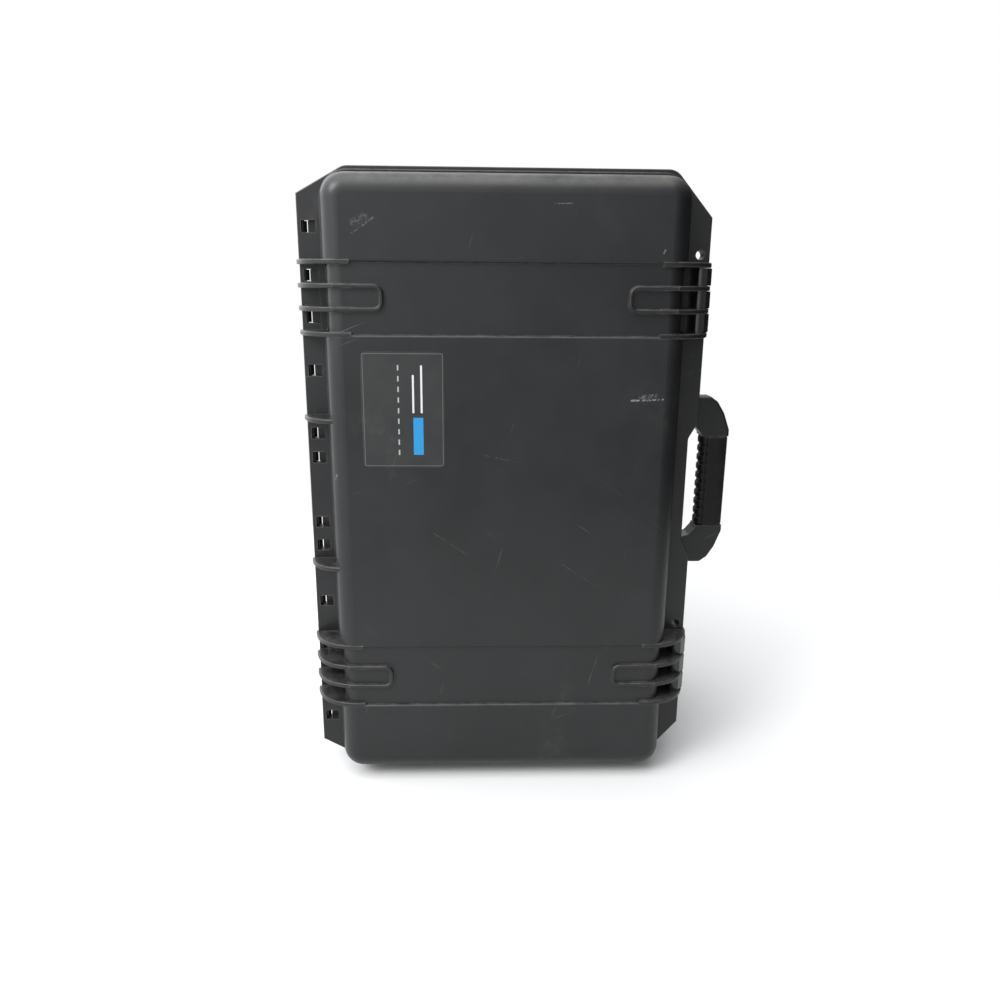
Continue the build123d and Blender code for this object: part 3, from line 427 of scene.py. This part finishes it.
def makeFoamMaterial():
    # open-cell foam: pits coloured darker than the thin cell walls as painted shade, lighter where it
    # is rubbed
    material, tree, shader = startMaterial("openCellFoam", IOR=1.4, Sheen_Weight=0.25,
                                           Sheen_Roughness=0.6, Roughness=0.95)
    place = addNode(tree, "ShaderNodeTexCoord").outputs["Object"]
    cells = addNode(tree, "ShaderNodeTexVoronoi", {"Vector": place, "Scale": 620.0}).outputs[0]
    larger = addNode(tree, "ShaderNodeTexVoronoi", {"Vector": place, "Scale": 210.0}).outputs[0]
    pits = calc(tree, "ADD", cells, calc(tree, "MULTIPLY", larger, 0.5))
    cloud = useGroup(tree, groups["grain"], grainScale=300.0, cloudScale=25.0)["cloud"]
    # darker with pit depth: painted shade in the pits
    colour = mixColour(tree, ramp(tree, pits, 0.1, 0.9), grey(0.012, 1.05), grey(0.05, 1.05))
    colour = mixColour(tree, calc(tree, "MULTIPLY", cloud, 0.35), colour, grey(0.075, 1.05))
    tree.links.new(colour, shader.inputs["Base Color"])
    bumpFrom(tree, shader, pits, 0.8, 0.0008)
    return material


def makeMetalMaterial(name, base, across, along, roughness):
    # bare metal with drawn lines, dull spots and darker grime
    material, tree, shader = startMaterial(name, Metallic=1.0)
    lines = useGroup(tree, groups["brush"], across=across, along=along)["lines"]
    grain = useGroup(tree, groups["grain"], grainScale=700.0, cloudScale=60.0)
    scuff = useGroup(tree, groups["scuff"], amount=0.6, fineness=1.4)
    dull = tuple(0.55 * channel for channel in base[:3]) + (1.0,)
    mask = calc(tree, "MULTIPLY", grain["cloud"], 0.35)
    colour = mixColour(tree, mask, base, dull)
    colour = mixColour(tree, calc(tree, "MULTIPLY", lines, 0.3), colour, dull)
    tree.links.new(colour, shader.inputs["Base Color"])
    rough = ramp(tree, lines, 0.2, 0.8, roughness - 0.07, roughness + 0.07)
    tree.links.new(calc(tree, "ADD", rough, calc(tree, "MULTIPLY", scuff["rub"], 0.2)),
                   shader.inputs["Roughness"])
    bumpFrom(tree, shader, calc(tree, "SUBTRACT", lines, scuff["scratch"]), 0.12, 0.00008)
    return material


def makeHubMaterial():
    # glass-filled nylon, greyer than the shell, with mould grain and road dust
    material, tree, shader = startMaterial("wheelHubNylon", IOR=1.52)
    grain = useGroup(tree, groups["grain"], grainScale=900.0, cloudScale=70.0)
    edge = useGroup(tree, groups["edge"], radius=0.0008, breakUp=0.48)
    dust = useGroup(tree, groups["dust"], amount=0.4)
    colour = mixColour(tree, grain["cloud"], grey(0.03), grey(0.05))
    colour = mixColour(tree, edge["mask"], colour, grey(0.14))
    colour = mixColour(tree, dust["mask"], colour, (0.22, 0.2, 0.17, 1.0))
    tree.links.new(colour, shader.inputs["Base Color"])
    tree.links.new(ramp(tree, grain["cloud"], 0.0, 1.0, 0.42, 0.6), shader.inputs["Roughness"])
    bumpFrom(tree, shader, grain["height"], 0.2, 0.00015)
    return material


# printed film on the lid: plain frame line, rules to write on and one coloured bar
labelLook = {
    "film": (0.012, 0.0125, 0.0135, 1.0),
    "line": (0.10, 0.10, 0.10, 1.0),
    "rule": (0.50, 0.51, 0.52, 1.0),
    "bar": (0.01, 0.19, 0.42, 1.0),
    "frameInset": 0.0016,
    "frameWidth": 0.0004,
    "rules": ((0.0155, -0.002, 0.038), (0.0085, -0.002, 0.030)),    # across, low end, high end
    "ruleHalf": 0.0008,
    "tickPlace": (-0.004, 0.036),
    "tickPitch": 0.009,
    "tickCount": 9,
    "tickHalf": (0.0006, 0.0022),
    "barPlace": (0.0125, -0.022),
    "barHalf": (0.0042, 0.016),
}


def makeLabelMaterial(halfWidth, halfHeight):
    material, tree, shader = startMaterial("printedLabelFilm", IOR=1.42, Coat_Weight=0.08,
                                           Coat_Roughness=0.25)
    spot = addNode(tree, "ShaderNodeUVMap", uv_map="surface").outputs[0]
    axes = addNode(tree, "ShaderNodeSeparateXYZ", {0: spot}).outputs

    def insideBox(cx, cz, hx, hz):
        # one inside a rectangle on the film, nothing outside it
        dx = calc(tree, "SUBTRACT",
                   calc(tree, "ABSOLUTE", calc(tree, "SUBTRACT", axes[0], cx)), hx)
        dz = calc(tree, "SUBTRACT",
                   calc(tree, "ABSOLUTE", calc(tree, "SUBTRACT", axes[1], cz)), hz)
        return ramp(tree, calc(tree, "MAXIMUM", dx, dz), 0.00012, -0.00012)

    grain = useGroup(tree, groups["grain"], grainScale=1500.0, cloudScale=55.0)
    scuff = useGroup(tree, groups["scuff"], amount=0.5, fineness=1.5)
    colour = mixColour(tree, grain["cloud"], labelLook["film"], grey(0.017))
    inset, width = labelLook["frameInset"], labelLook["frameWidth"]
    outer = insideBox(0, 0, halfWidth - inset, halfHeight - inset)
    inner = insideBox(0, 0, halfWidth - inset - width, halfHeight - inset - width)
    colour = mixColour(tree, calc(tree, "SUBTRACT", outer, inner, True), colour,
                       labelLook["line"])
    for across, low, high in labelLook["rules"]:
        rule = insideBox(across, (low + high) / 2, labelLook["ruleHalf"], (high - low) / 2)
        colour = mixColour(tree, rule, colour, labelLook["rule"])
    tickX, tickZ = labelLook["tickPlace"]
    for step in range(labelLook["tickCount"]):
        tick = insideBox(tickX, tickZ - labelLook["tickPitch"] * step, *labelLook["tickHalf"])
        colour = mixColour(tree, tick, colour, grey(0.30))
    bar = insideBox(*labelLook["barPlace"], *labelLook["barHalf"])
    colour = mixColour(tree, bar, colour, labelLook["bar"])
    colour = mixColour(tree, scuff["scratch"], colour, grey(0.2))
    colour = mixColour(tree, calc(tree, "MULTIPLY", scuff["rub"], 0.6), colour, grey(0.09))
    tree.links.new(colour, shader.inputs["Base Color"])
    rough = ramp(tree, grain["cloud"], 0.0, 1.0, 0.36, 0.5)
    tree.links.new(rough, shader.inputs["Roughness"])
    bumpFrom(tree, shader, grain["height"], 0.12, 0.0001)
    return material


def paint(name, material):
    mesh = nodes[name].data
    mesh.materials.clear()
    mesh.materials.append(material)


# marks on the lid face, measured from the middle of the lid across and up, in metres
lidMarks = {
    "lines": (
        ((0.107, 0.0872), (0.134, 0.0880), 0.0012, 0.45),
        ((0.115, 0.0900), (0.128, 0.0915), 0.0022, 0.22),
        ((-0.125, 0.2205), (-0.1075, 0.2325), 0.0009, 0.22),
        ((-0.123, 0.2290), (-0.1145, 0.2335), 0.0040, 0.10),
        ((0.1275, 0.2075), (0.1292, 0.2110), 0.0009, 0.40),
        ((-0.1470, 0.0170), (-0.1452, 0.0215), 0.0010, 0.35),
        ((0.038, 0.2445), (0.052, 0.2452), 0.0007, 0.20),
        ((-0.020, 0.040), (0.012, 0.033), 0.0005, 0.10),
        ((0.052, -0.060), (0.083, -0.081), 0.0005, 0.10),
        ((-0.062, -0.031), (-0.031, -0.052), 0.0005, 0.09),
    ),
}

lidLow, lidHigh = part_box("lid_shell")
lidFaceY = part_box("label_sticker")[1].y
joints = {joint["name"]: joint for joint in record["behaviour"]["joints"]}
hingeAxis = Vector(joints["lid_hinge"]["pos_m"])
gasketLow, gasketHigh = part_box("lid_gasket")
midX = (gasketLow.x + gasketHigh.x) / 2
midZ = (gasketLow.z + gasketHigh.z) / 2


def makeMaterials():
    marks = [((a[0] + midX, a[1] + midZ), (b[0] + midX, b[1] + midZ), width, strength)
             for a, b, width, strength in lidMarks["lines"]]
    labelLow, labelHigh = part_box("label_sticker")
    return {
        "lid": makeShellMaterial("lidShellPlastic", marks),
        "shell": makeShellMaterial("caseShellPlastic"),
        "latch": makeLatchMaterial(),
        "grip": makeRubberMaterial("softGripRubber", 0.004, 0.55, 700.0, 0.35),
        "seal": makeRubberMaterial("sealRubber", 0.012, 0.6, 1600.0, 0.25),
        "tyre": makeRubberMaterial("tyreRubber", 0.014, 0.72, 800.0, 0.45),
        "foam": makeFoamMaterial(),
        "steel": makeMetalMaterial("stainlessSteel", (0.58, 0.57, 0.55, 1.0), 700.0, 40.0, 0.3),
        "tube": makeMetalMaterial("anodisedTube", (0.50, 0.51, 0.53, 1.0), 900.0, 4.0, 0.34),
        "bronze": makeMetalMaterial("bronzeBush", (0.50, 0.33, 0.16, 1.0), 500.0, 300.0, 0.4),
        "hub": makeHubMaterial(),
        "label": makeLabelMaterial((labelHigh.x - labelLow.x) / 2, (labelHigh.z - labelLow.z) / 2),
    }


materials = makeMaterials()
for name, node in nodes.items():
    slotName = node.data.materials[0].name.split(".")[0] if node.data.materials else "shell"
    paint(name, materials.get(slotName, materials["shell"]))
paint("lid_shell", materials["lid"])
print("materials made,", len(materials))


def addPiece(piece, material, body, slot, *replaced):
    piece.data.materials.clear()
    piece.data.materials.append(material)
    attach(piece, body)
    if replaced:
        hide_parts(*replaced)
    return piece


# lid seal: hollow rubber section with a domed top and two small feet
seal = {
    "halfWidth": 0.0018,
    "cornerRadius": 0.026,
    "dome": 0.55,       # share of the height that is domed
    "feet": 0.16,       # how far the feet spread past the body, as a share of its half width
    "sectionPoints": 28,
}


def makeSeal():
    # half width and depth of the groove section carried round a rounded rectangle:
    # across = cos(t), depth = foot plus a dome that rises as sin(t)
    low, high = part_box("lid_gasket")
    half = seal["halfWidth"]
    path = roundedLoop(low.x + half, high.x - half, low.z + half, high.z - half,
                       [seal["cornerRadius"]] * 4, side=60, corner=14)
    normal = loopNormals(path)
    t = np.linspace(0, 2 * np.pi, seal["sectionPoints"], endpoint=False)
    height = high.y - low.y
    dome = low.y + height * (1 - seal["dome"])
    across = half * np.cos(t) * np.where(np.sin(t) < 0, 1.0, 1 - seal["feet"])
    depth = np.where(np.sin(t) >= 0, dome + height * seal["dome"] * np.sin(t),
                     dome - (dome - low.y) * np.minimum(1.0, -1.6 * np.sin(t)))
    points = np.empty((len(path), len(t), 3))
    points[..., 0] = path[:, None, 0] + normal[:, None, 0] * across
    points[..., 1] = depth
    points[..., 2] = path[:, None, 1] + normal[:, None, 1] * across
    piece = gridMesh("lidSealRubber", points, True, True)
    addPiece(piece, materials["seal"], "lid", "seal", "lid_gasket")


# small raised step at the foot of the lid wall, where it meets the flange
footStep = {
    "wallInside": 0.0028,       # wall outline, in from the seal's outer edge
    "flangeAhead": 0.0071,      # flange front, ahead of the seal's back
    "corner": 0.022,
    "bandInset": 0.003,
    "bandLow": 0.1406,
    "bandHigh": 0.1988,
    "bandStep": 0.003,
    "radius": 0.0013,
    "stand": 0.0006,
}


def makeFootStep():
    # a round bead carried along the wall outline, moved in by the band depth between the
    # band heights
    f = footStep
    x0, x1 = gasketLow.x + f["wallInside"], gasketHigh.x - f["wallInside"]
    z0, z1 = gasketLow.z + f["wallInside"], gasketHigh.z - f["wallInside"]
    path = roundedLoop(x0, x1, z0, z1, [f["corner"]] * 4, side=220, corner=16)
    up = np.abs(path[:, 1] - midZ)
    step = f["bandStep"]
    inBand = np.clip((up - f["bandLow"]) / step, 0, 1) * np.clip((f["bandHigh"] - up) / step, 0, 1)
    path[:, 0] -= np.sign(path[:, 0] - midX) * f["bandInset"] * inBand
    normal = loopNormals(path)
    t = np.linspace(0, 2 * np.pi, 12, endpoint=False)
    points = np.empty((len(path), len(t), 3))
    flangeY = gasketHigh.y - f["flangeAhead"]
    across = f["radius"] * np.cos(t) + f["stand"]
    points[..., 0] = path[:, None, 0] + normal[:, None, 0] * across
    points[..., 1] = flangeY + f["radius"] * np.sin(t)
    points[..., 2] = path[:, None, 1] + normal[:, None, 1] * across
    piece = gridMesh("lidWallFootBead", points, True, True)
    addPiece(piece, materials["lid"], "lid", "shell")


# thin cheeks that close the hinge windows from behind, but for a slit beside the knuckles
hingeCheek = {
    "rows": (0.0302, 0.0522, 0.1076, 0.1532, 0.1880, 0.2274),   # windows above and below the middle
    "halfHeight": 0.0049,
    "nearEdge": 0.0041,
    "farEdge": 0.0125,
    "front": 0.0004,
    "thick": 0.0024,
    "corner": 0.0005,
}


def makeHingeCheeks():
    # flat blocks: four corners of a rounded rectangle carried from the front face to the back
    h = hingeCheek
    blocks = []
    for side in (1, -1):
        for row in h["rows"]:
            z = midZ + side * row
            outline = roundedLoop(hingeAxis.x + h["nearEdge"], hingeAxis.x + h["farEdge"],
                                  z - h["halfHeight"], z + h["halfHeight"], [h["corner"]] * 4,
                                  side=1, corner=4)
            depth = hingeAxis.y + h["front"] + h["thick"] * np.array([0, 0, 1, 1])
            share = np.array([0, 1, 1, 0])[None, :, None]
            middle = outline.mean(axis=0)
            loop = middle + (outline[:, None, :] - middle) * share
            points = np.stack([loop[..., 0], np.broadcast_to(depth, loop.shape[:2]),
                               loop[..., 1]], axis=-1)
            blocks.append(gridMesh("hingeCheek", points, True, False))
    piece = joinMeshes("hingeWindowCheeks", blocks)
    addPiece(piece, materials["shell"], "base", "shell")


# foam: pocket block and floor pad in the base, wave foam in the lid
foamBlock = {"edge": 0.0035, "sag": 0.0006, "outerCorner": 0.0154, "innerCorner": 0.002,
             "pocketCorner": 0.012, "seam": 0.0002, "waveSize": 0.06}


def foamRing(name, outer, inner, front, back, seed):
    # a rectangular section with rounded edges, carried round from the outer outline to the
    # pocket: weight goes from outline to pocket and back, depth from back to front
    e = foamBlock["edge"]
    bend = np.linspace(0, np.pi / 2, 6)
    wallSteps = np.linspace(0, 1, 14)
    faceSteps = np.linspace(0, 1, 12)
    weight, depth = [], []
    width = np.linalg.norm(outer - inner, axis=1).mean()
    share = e / width
    weight += [np.zeros(len(wallSteps)), share * (1 - np.cos(bend[1:-1]))]
    depth += [back + (front + e - back) * wallSteps, front + e * (1 - np.sin(bend[1:-1]))]
    weight += [share + (1 - 2 * share) * faceSteps, 1 - share * (1 - np.sin(bend[1:-1]))]
    depth += [np.full(len(faceSteps), front), front + e * (1 - np.cos(bend[1:-1]))]
    weight += [np.ones(len(wallSteps))]
    depth += [front + e + (back - front - e) * wallSteps]
    weight, depth = np.concatenate(weight), np.concatenate(depth)
    loop = outer[:, None, :] * (1 - weight[None, :, None]) + inner[:, None, :] * weight[None, :, None]
    points = np.empty(loop.shape[:2] + (3,))
    wave = ripple(loop[..., 0], loop[..., 1], seed, foamBlock["waveSize"])
    onFace = (depth < front + e) * 1.0
    points[..., 0] = loop[..., 0]
    points[..., 1] = depth[None, :] + foamBlock["sag"] * (1 + wave) * onFace[None, :]
    points[..., 2] = loop[..., 1]
    return gridMesh(name, points, True, True, sharp=50.0)


def makeFoamBlock():
    low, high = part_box("base_foam")
    upper = openings["foam_pocket_upper"]
    left = openings["foam_pocket_lower_left"]
    right = openings["foam_pocket_lower_right"]
    splitZ = (upper[0][2] + left[1][2]) / 2
    splitX = (left[1][0] + right[0][0]) / 2
    big, small, seam = foamBlock["outerCorner"], foamBlock["innerCorner"], foamBlock["seam"]
    cells = [
        (upper, (low.x, high.x, splitZ + seam, high.z), (big, big, small, small)),
        (left, (low.x, splitX - seam, low.z, splitZ - seam), (small, small, big, small)),
        (right, (splitX + seam, high.x, low.z, splitZ - seam), (small, small, small, big)),
    ]
    blocks = []
    for seed, (pocket, outline, radii) in enumerate(cells):
        outer = roundedLoop(*outline, radii, side=40, corner=10)
        inner = roundedLoop(pocket[0][0], pocket[1][0], pocket[0][2], pocket[1][2],
                            [foamBlock["pocketCorner"]] * 4, side=40, corner=10)
        blocks.append(foamRing(f"foamCell{seed}", outer, inner, low.y, high.y, seed + 3))
    piece = joinMeshes("pocketFoamBlock", blocks)
    addPiece(piece, materials["foam"], "base", "foam", "base_foam")


floorPad = {
    "inset": 0.002,
    "corner": 0.015,
    "rings": 60,
    "wave": 0.0004,
    "waveSize": 0.07,
    "channelHalf": 0.0835,
    "channelDepth": 0.0363,
    "channelFoot": 0.008,
    "wellInner": 0.100,
    "wellTop": 0.062,
    "wellDepth": 0.0145,
    "rimDrop": 0.002,
    "backGap": 0.001,
}


def discRings(outline, count):
    # rings of an outline shrunk towards its middle, from the middle out
    middle = outline.mean(axis=0)
    share = np.linspace(0, 1, count)[None, :, None]
    return middle + (outline[:, None, :] - middle) * share


def makeFloorPad():
    # two sheets over the same outline: a flat front with a slight wave, and a back that
    # steps forward behind the trolley channel and the wheel wells
    p = floorPad
    low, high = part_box("base_floor_pad")
    inset = p["inset"]
    outline = roundedLoop(low.x + inset, high.x - inset, low.z + inset, high.z - inset,
                          [p["corner"]] * 4, side=50, corner=10)
    rings = discRings(outline, p["rings"])
    x, z = rings[..., 0], rings[..., 1]
    rim = np.linspace(0, 1, p["rings"])[None, :] ** 40
    front = low.y + p["wave"] * (1 + ripple(x, z, 11, p["waveSize"])) + p["rimDrop"] * rim
    back = np.full_like(x, high.y - p["backGap"])
    channel = (np.abs(x - midX) < p["channelHalf"]) & (z - low.z > p["channelFoot"])
    back = np.where(channel, low.y + p["channelDepth"] - p["backGap"], back)
    well = (np.abs(x - midX) > p["wellInner"]) & (z - low.z < p["wellTop"])
    back = np.where(well, low.y + p["wellDepth"] - p["backGap"], back)
    points = np.concatenate([np.stack([x, front, z], axis=-1),
                             np.stack([x, back, z], axis=-1)[:, ::-1]], axis=1)
    piece = gridMesh("foamFloorPad", points, True, False, sharp=50.0)
    addPiece(piece, materials["foam"], "base", "foam", "base_floor_pad")


waveFoam = {
    "inset": 0.0005,
    "corner": 0.0153,
    "rings": 110,
    "pitch": 0.034,
    "waveHeight": 0.0075,
    "rimWidth": 0.012,
    "rimDrop": 0.003,
    "backShrink": 0.0042,
    "backGap": 0.0006,
}


def makeWaveFoam():
    # lid foam with rows of rounded peaks: depth = top - height * (1 - sin(kx) sin(kz)) / 2,
    # flattened towards the rim
    w = waveFoam
    low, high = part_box("lid_foam")
    inset = w["inset"]
    outline = roundedLoop(low.x + inset, high.x - inset, low.z + inset, high.z - inset,
                          [w["corner"]] * 4, side=90, corner=12)
    rings = discRings(outline, w["rings"])
    x, z = rings[..., 0], rings[..., 1]
    k = 2 * np.pi / w["pitch"]
    away = (1 - np.linspace(0, 1, w["rings"])[None, :]) * (high.x - low.x) / 2
    inField = np.clip(away / w["rimWidth"], 0, 1)
    peaks = np.sin(k * (x - midX)) * np.sin(k * (z - midZ))
    front = high.y - w["waveHeight"] * (1 - peaks) / 2 * inField - w["rimDrop"] * (1 - inField) ** 4
    shrink = 1 - w["backShrink"] / ((high.x - low.x) / 2)
    backX, backZ = midX + (x - midX) * shrink, midZ + (z - midZ) * shrink
    back = np.full_like(x, low.y + w["backGap"])
    points = np.concatenate([np.stack([x, front, z], axis=-1),
                             np.stack([backX, back, backZ], axis=-1)[:, ::-1]], axis=1)
    piece = gridMesh("lidWaveFoam", points, True, False, sharp=60.0)
    addPiece(piece, materials["foam"], "lid", "foam", "lid_foam")


# film of the label
labelShape = {"corner": 0.006, "rings": 30, "rimDrop": 0.00012, "wave": 0.00004, "waveSize": 0.03}


def makeLabel():
    # thin film: rings of a rounded rectangle, its rim rolled down to the lid face
    film = labelShape
    low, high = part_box("label_sticker")
    outline = roundedLoop(low.x, high.x, low.z, high.z, [film["corner"]] * 4, side=30, corner=10)
    rings = discRings(outline, film["rings"])
    x, z = rings[..., 0], rings[..., 1]
    share = np.linspace(0, 1, film["rings"])[None, :]
    wave = film["wave"] * ripple(x, z, 21, film["waveSize"]) ** 2
    front = low.y + film["rimDrop"] * share ** 30 + wave
    back = np.full_like(x, high.y)
    points = np.concatenate([np.stack([x, front, z], axis=-1),
                             np.stack([x, back, z], axis=-1)[:, ::-1]], axis=1)
    centre = ((low.x + high.x) / 2, (low.z + high.z) / 2)
    uv = np.stack([points[..., 0] - centre[0], points[..., 2] - centre[1]], axis=-1)
    piece = gridMesh("lidLabelFilm", points, True, False, uv=uv)
    addPiece(piece, materials["label"], "lid", "label", "label_sticker")


# soft grip on the carry handle
gripShape = {
    "power": 3.4,
    "ribPitch": 0.0088,
    "ribDepth": 0.0013,
    "ribStart": 0.006,       # plain stretch at each end, then a short run up to full depth
    "ribRun": 0.002,
    "ribSharp": 7,
    "ribLevel": 0.35,
    "endRound": 0.0025,
    "ridge": 0.0006,         # shallow crease along the grip, at this angle and width
    "ridgeAngle": 4.2,
    "ridgeWidth": 0.12,
}


def makeHandleGrip():
    # superellipse section carried up the handle; ribs cut the inner side as a rounded square
    # wave, and the ends draw in on a quarter circle
    g = gripShape
    low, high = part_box("handle_grip")
    cx, cy = (low.x + high.x) / 2, (low.y + high.y) / 2
    hx, hy = (high.x - low.x) / 2, (high.y - low.y) / 2
    t = np.linspace(0, 2 * np.pi, 96, endpoint=False)
    z = np.linspace(low.z, high.z, 260)
    c, s = np.cos(t), np.sin(t)
    sx = np.sign(c) * np.abs(c) ** (2 / g["power"])
    sy = np.sign(s) * np.abs(s) ** (2 / g["power"])
    toEnd = np.minimum(z - low.z, high.z - z)
    inEnd = np.clip(1 - toEnd / g["endRound"], 0, 1)
    shrink = g["endRound"] * (1 - np.sqrt(1 - inEnd ** 2))
    wave = np.cos(2 * np.pi * (z - (low.z + high.z) / 2) / g["ribPitch"])
    groove = 1 / (1 + np.exp(-g["ribSharp"] * (wave - g["ribLevel"])))
    inField = np.clip((toEnd - g["ribStart"]) / g["ribRun"], 0, 1)
    innerSide = np.clip((-c - 0.25) / 0.3, 0, 1) ** 0.5
    cut = g["ribDepth"] * groove[:, None] * inField[:, None] * innerSide[None, :]
    facet = g["ridge"] * np.exp(-((t[None, :] - g["ridgeAngle"]) / g["ridgeWidth"]) ** 2)
    points = np.empty((len(z), len(t), 3))
    radX = hx - shrink[:, None] - cut - facet
    radY = hy - shrink[:, None] - cut * 0.3 - facet
    points[..., 0] = cx + radX * sx
    points[..., 1] = cy + radY * sy
    points[..., 2] = z[:, None]
    capLow = np.broadcast_to([cx, cy, low.z], (1, len(t), 3))
    capHigh = np.broadcast_to([cx, cy, high.z], (1, len(t), 3))
    points = np.concatenate([capLow, points, capHigh])
    piece = gridMesh("handleSoftGrip", points, False, True, sharp=55.0)
    addPiece(piece, materials["grip"], "handle", "grip", "handle_grip")


# tyres with a crowned tread and three fine grooves
tyreShape = {"hubRadius": 0.017, "round": 0.0045, "crown": 0.0006, "grooveDepth": 0.0008,
             "grooveWidth": 0.0011, "grooves": (-0.0052, 0.0, 0.0052)}


def makeTyre(side):
    # a tyre section turned round its axle: radius = outer radius less the crown, the shoulder
    # rounding and the grooves
    y = tyreShape
    node = f"wheel_tyre_{side}"
    low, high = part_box(node)
    cy, cz = (low.y + high.y) / 2, (low.z + high.z) / 2
    radius, half = (high.z - low.z) / 2, (high.x - low.x) / 2
    x = np.linspace(-half, half, 90)
    inShoulder = np.clip((np.abs(x) - (half - y["round"])) / y["round"], 0, 1)
    outer = radius - y["crown"] * (x / half) ** 2 - y["round"] * (1 - np.sqrt(1 - inShoulder ** 2))
    for place in y["grooves"]:
        outer -= y["grooveDepth"] * np.exp(-((x - place) / y["grooveWidth"] * 2) ** 4)
    walls = np.linspace(0, 1, 8)[1:-1]
    sectionX = np.concatenate([x, np.full(len(walls), half), x[::-6], np.full(len(walls), -half)])
    sectionR = np.concatenate([outer, outer[-1] + (y["hubRadius"] - outer[-1]) * walls,
                               np.full(len(x[::-6]), y["hubRadius"]),
                               y["hubRadius"] + (outer[0] - y["hubRadius"]) * walls])
    turn = np.linspace(0, 2 * np.pi, 120, endpoint=False)
    points = np.empty((len(turn), len(sectionX), 3))
    points[..., 0] = (low.x + high.x) / 2 + sectionX[None, :]
    points[..., 1] = cy + sectionR[None, :] * np.cos(turn)[:, None]
    points[..., 2] = cz + sectionR[None, :] * np.sin(turn)[:, None]
    piece = gridMesh(f"wheelTyre{side.capitalize()}", points, True, True, sharp=35.0)
    addPiece(piece, materials["tyre"], f"wheel_{side}", "tyre", node)


makeSeal()
makeFootStep()
makeHingeCheeks()
print("seal and foot bead made")
makeFoamBlock()
makeFloorPad()
makeWaveFoam()
print("foam made")
makeLabel()
makeHandleGrip()
for sideName in ("left", "right"):
    makeTyre(sideName)
print("label, grip and tyres made")


# studio: pale floor, white surroundings, soft lights
studio = {
    "floorReach": 0.8,
    "floorLevel": 0.55,
    "floorGlow": 0.10,       # light given off by the floor far from the case
    "worldLeft": 1.75,
    "worldRight": 0.03,
    "worldSpan": (-0.55, 0.5),
    "worldBelow": 0.60,      # light from below the horizon, as a share
    "worldAbove": 1.5,       # the same, from just above it
    "worldUp": 0.6,          # added overhead
    "lights": (     # name, place, aimed at, disc width, power
        ("keyLight", (-1.6, -1.5, 1.9), (0, 0, 0.3), 1.1, 52.0),
        ("topLight", (-0.2, -0.7, 2.5), (0, 0, 0.1), 2.0, 30.0),
    ),
}


def makeFloor():
    # a flat disc: rings of growing radius turned round the case
    radius = np.concatenate([[0.0], np.geomspace(0.2, studio["floorReach"], 14)])
    turn = np.linspace(0, 2 * np.pi, 64, endpoint=False)
    points = np.zeros((len(turn), len(radius), 3))
    points[..., 0] = np.cos(turn)[:, None] * radius
    points[..., 1] = np.sin(turn)[:, None] * radius
    floor = gridMesh("paleFloor", points, True, False)
    material, tree, shader = startMaterial("paleFloorPaint", Roughness=0.9, IOR=1.2)
    place = addNode(tree, "ShaderNodeTexCoord").outputs["Object"]
    cloud = noise(tree, place, 1.5, 3.0, 0.5)
    colour = mixColour(tree, cloud, grey(studio["floorLevel"]), grey(studio["floorLevel"] + 0.03))
    tree.links.new(colour, shader.inputs["Base Color"])
    # far from the case the floor fades into the white surroundings
    away = addNode(tree, "ShaderNodeVectorMath", {0: place}, operation="LENGTH").outputs["Value"]
    glow = ramp(tree, away, 0.3, 0.75, 0.0, studio["floorGlow"])
    tree.links.new(glow, shader.inputs["Emission Strength"])
    shader.inputs["Emission Color"].default_value = (1, 1, 1, 1)
    floor.data.materials.append(material)


def makeWorld():
    # white to the camera; for light, bright on the left and overhead, dark on the right
    world = bpy.data.worlds.new("studioWorld")
    bpy.context.scene.world = world
    world.use_nodes = True
    tree = world.node_tree
    tree.nodes.clear()
    way = addNode(tree, "ShaderNodeTexCoord").outputs["Generated"]
    axes = addNode(tree, "ShaderNodeSeparateXYZ", {0: way}).outputs
    level = ramp(tree, axes[0], *studio["worldSpan"], studio["worldLeft"], studio["worldRight"])
    height = ramp(tree, axes[2], -0.4, 0.15, studio["worldBelow"], studio["worldAbove"])
    level = calc(tree, "MULTIPLY", level, height)
    level = calc(tree, "ADD", level, ramp(tree, axes[2], 0.3, 1.0, 0.0, studio["worldUp"]))
    seen = addNode(tree, "ShaderNodeLightPath").outputs["Is Camera Ray"]
    strength = addNode(tree, "ShaderNodeMix", {0: seen, 2: level, 3: 1.0}).outputs[0]
    tint = mixColour(tree, seen, (0.97, 0.985, 1, 1), (1, 1, 1, 1))
    light = addNode(tree, "ShaderNodeBackground", {"Color": tint, "Strength": strength})
    out = addNode(tree, "ShaderNodeOutputWorld")
    tree.links.new(light.outputs[0], out.inputs[0])


def areaLight(name, place, target, size, power):
    data = bpy.data.lights.new(name, "AREA")
    data.shape = "DISK"
    data.size = size
    data.energy = power
    lamp = bpy.data.objects.new(name, data)
    bpy.context.scene.collection.objects.link(lamp)
    way = Vector(target) - Vector(place)
    turn = way.to_track_quat("-Z", "Y").to_matrix().to_4x4()
    lamp.matrix_world = Matrix.Translation(place) @ turn


def makeStudio():
    makeFloor()
    makeWorld()
    for light in studio["lights"]:
        areaLight(*light)
    bpy.context.scene.view_settings.view_transform = "Standard"


makeCamera()
makeStudio()
print("studio made")
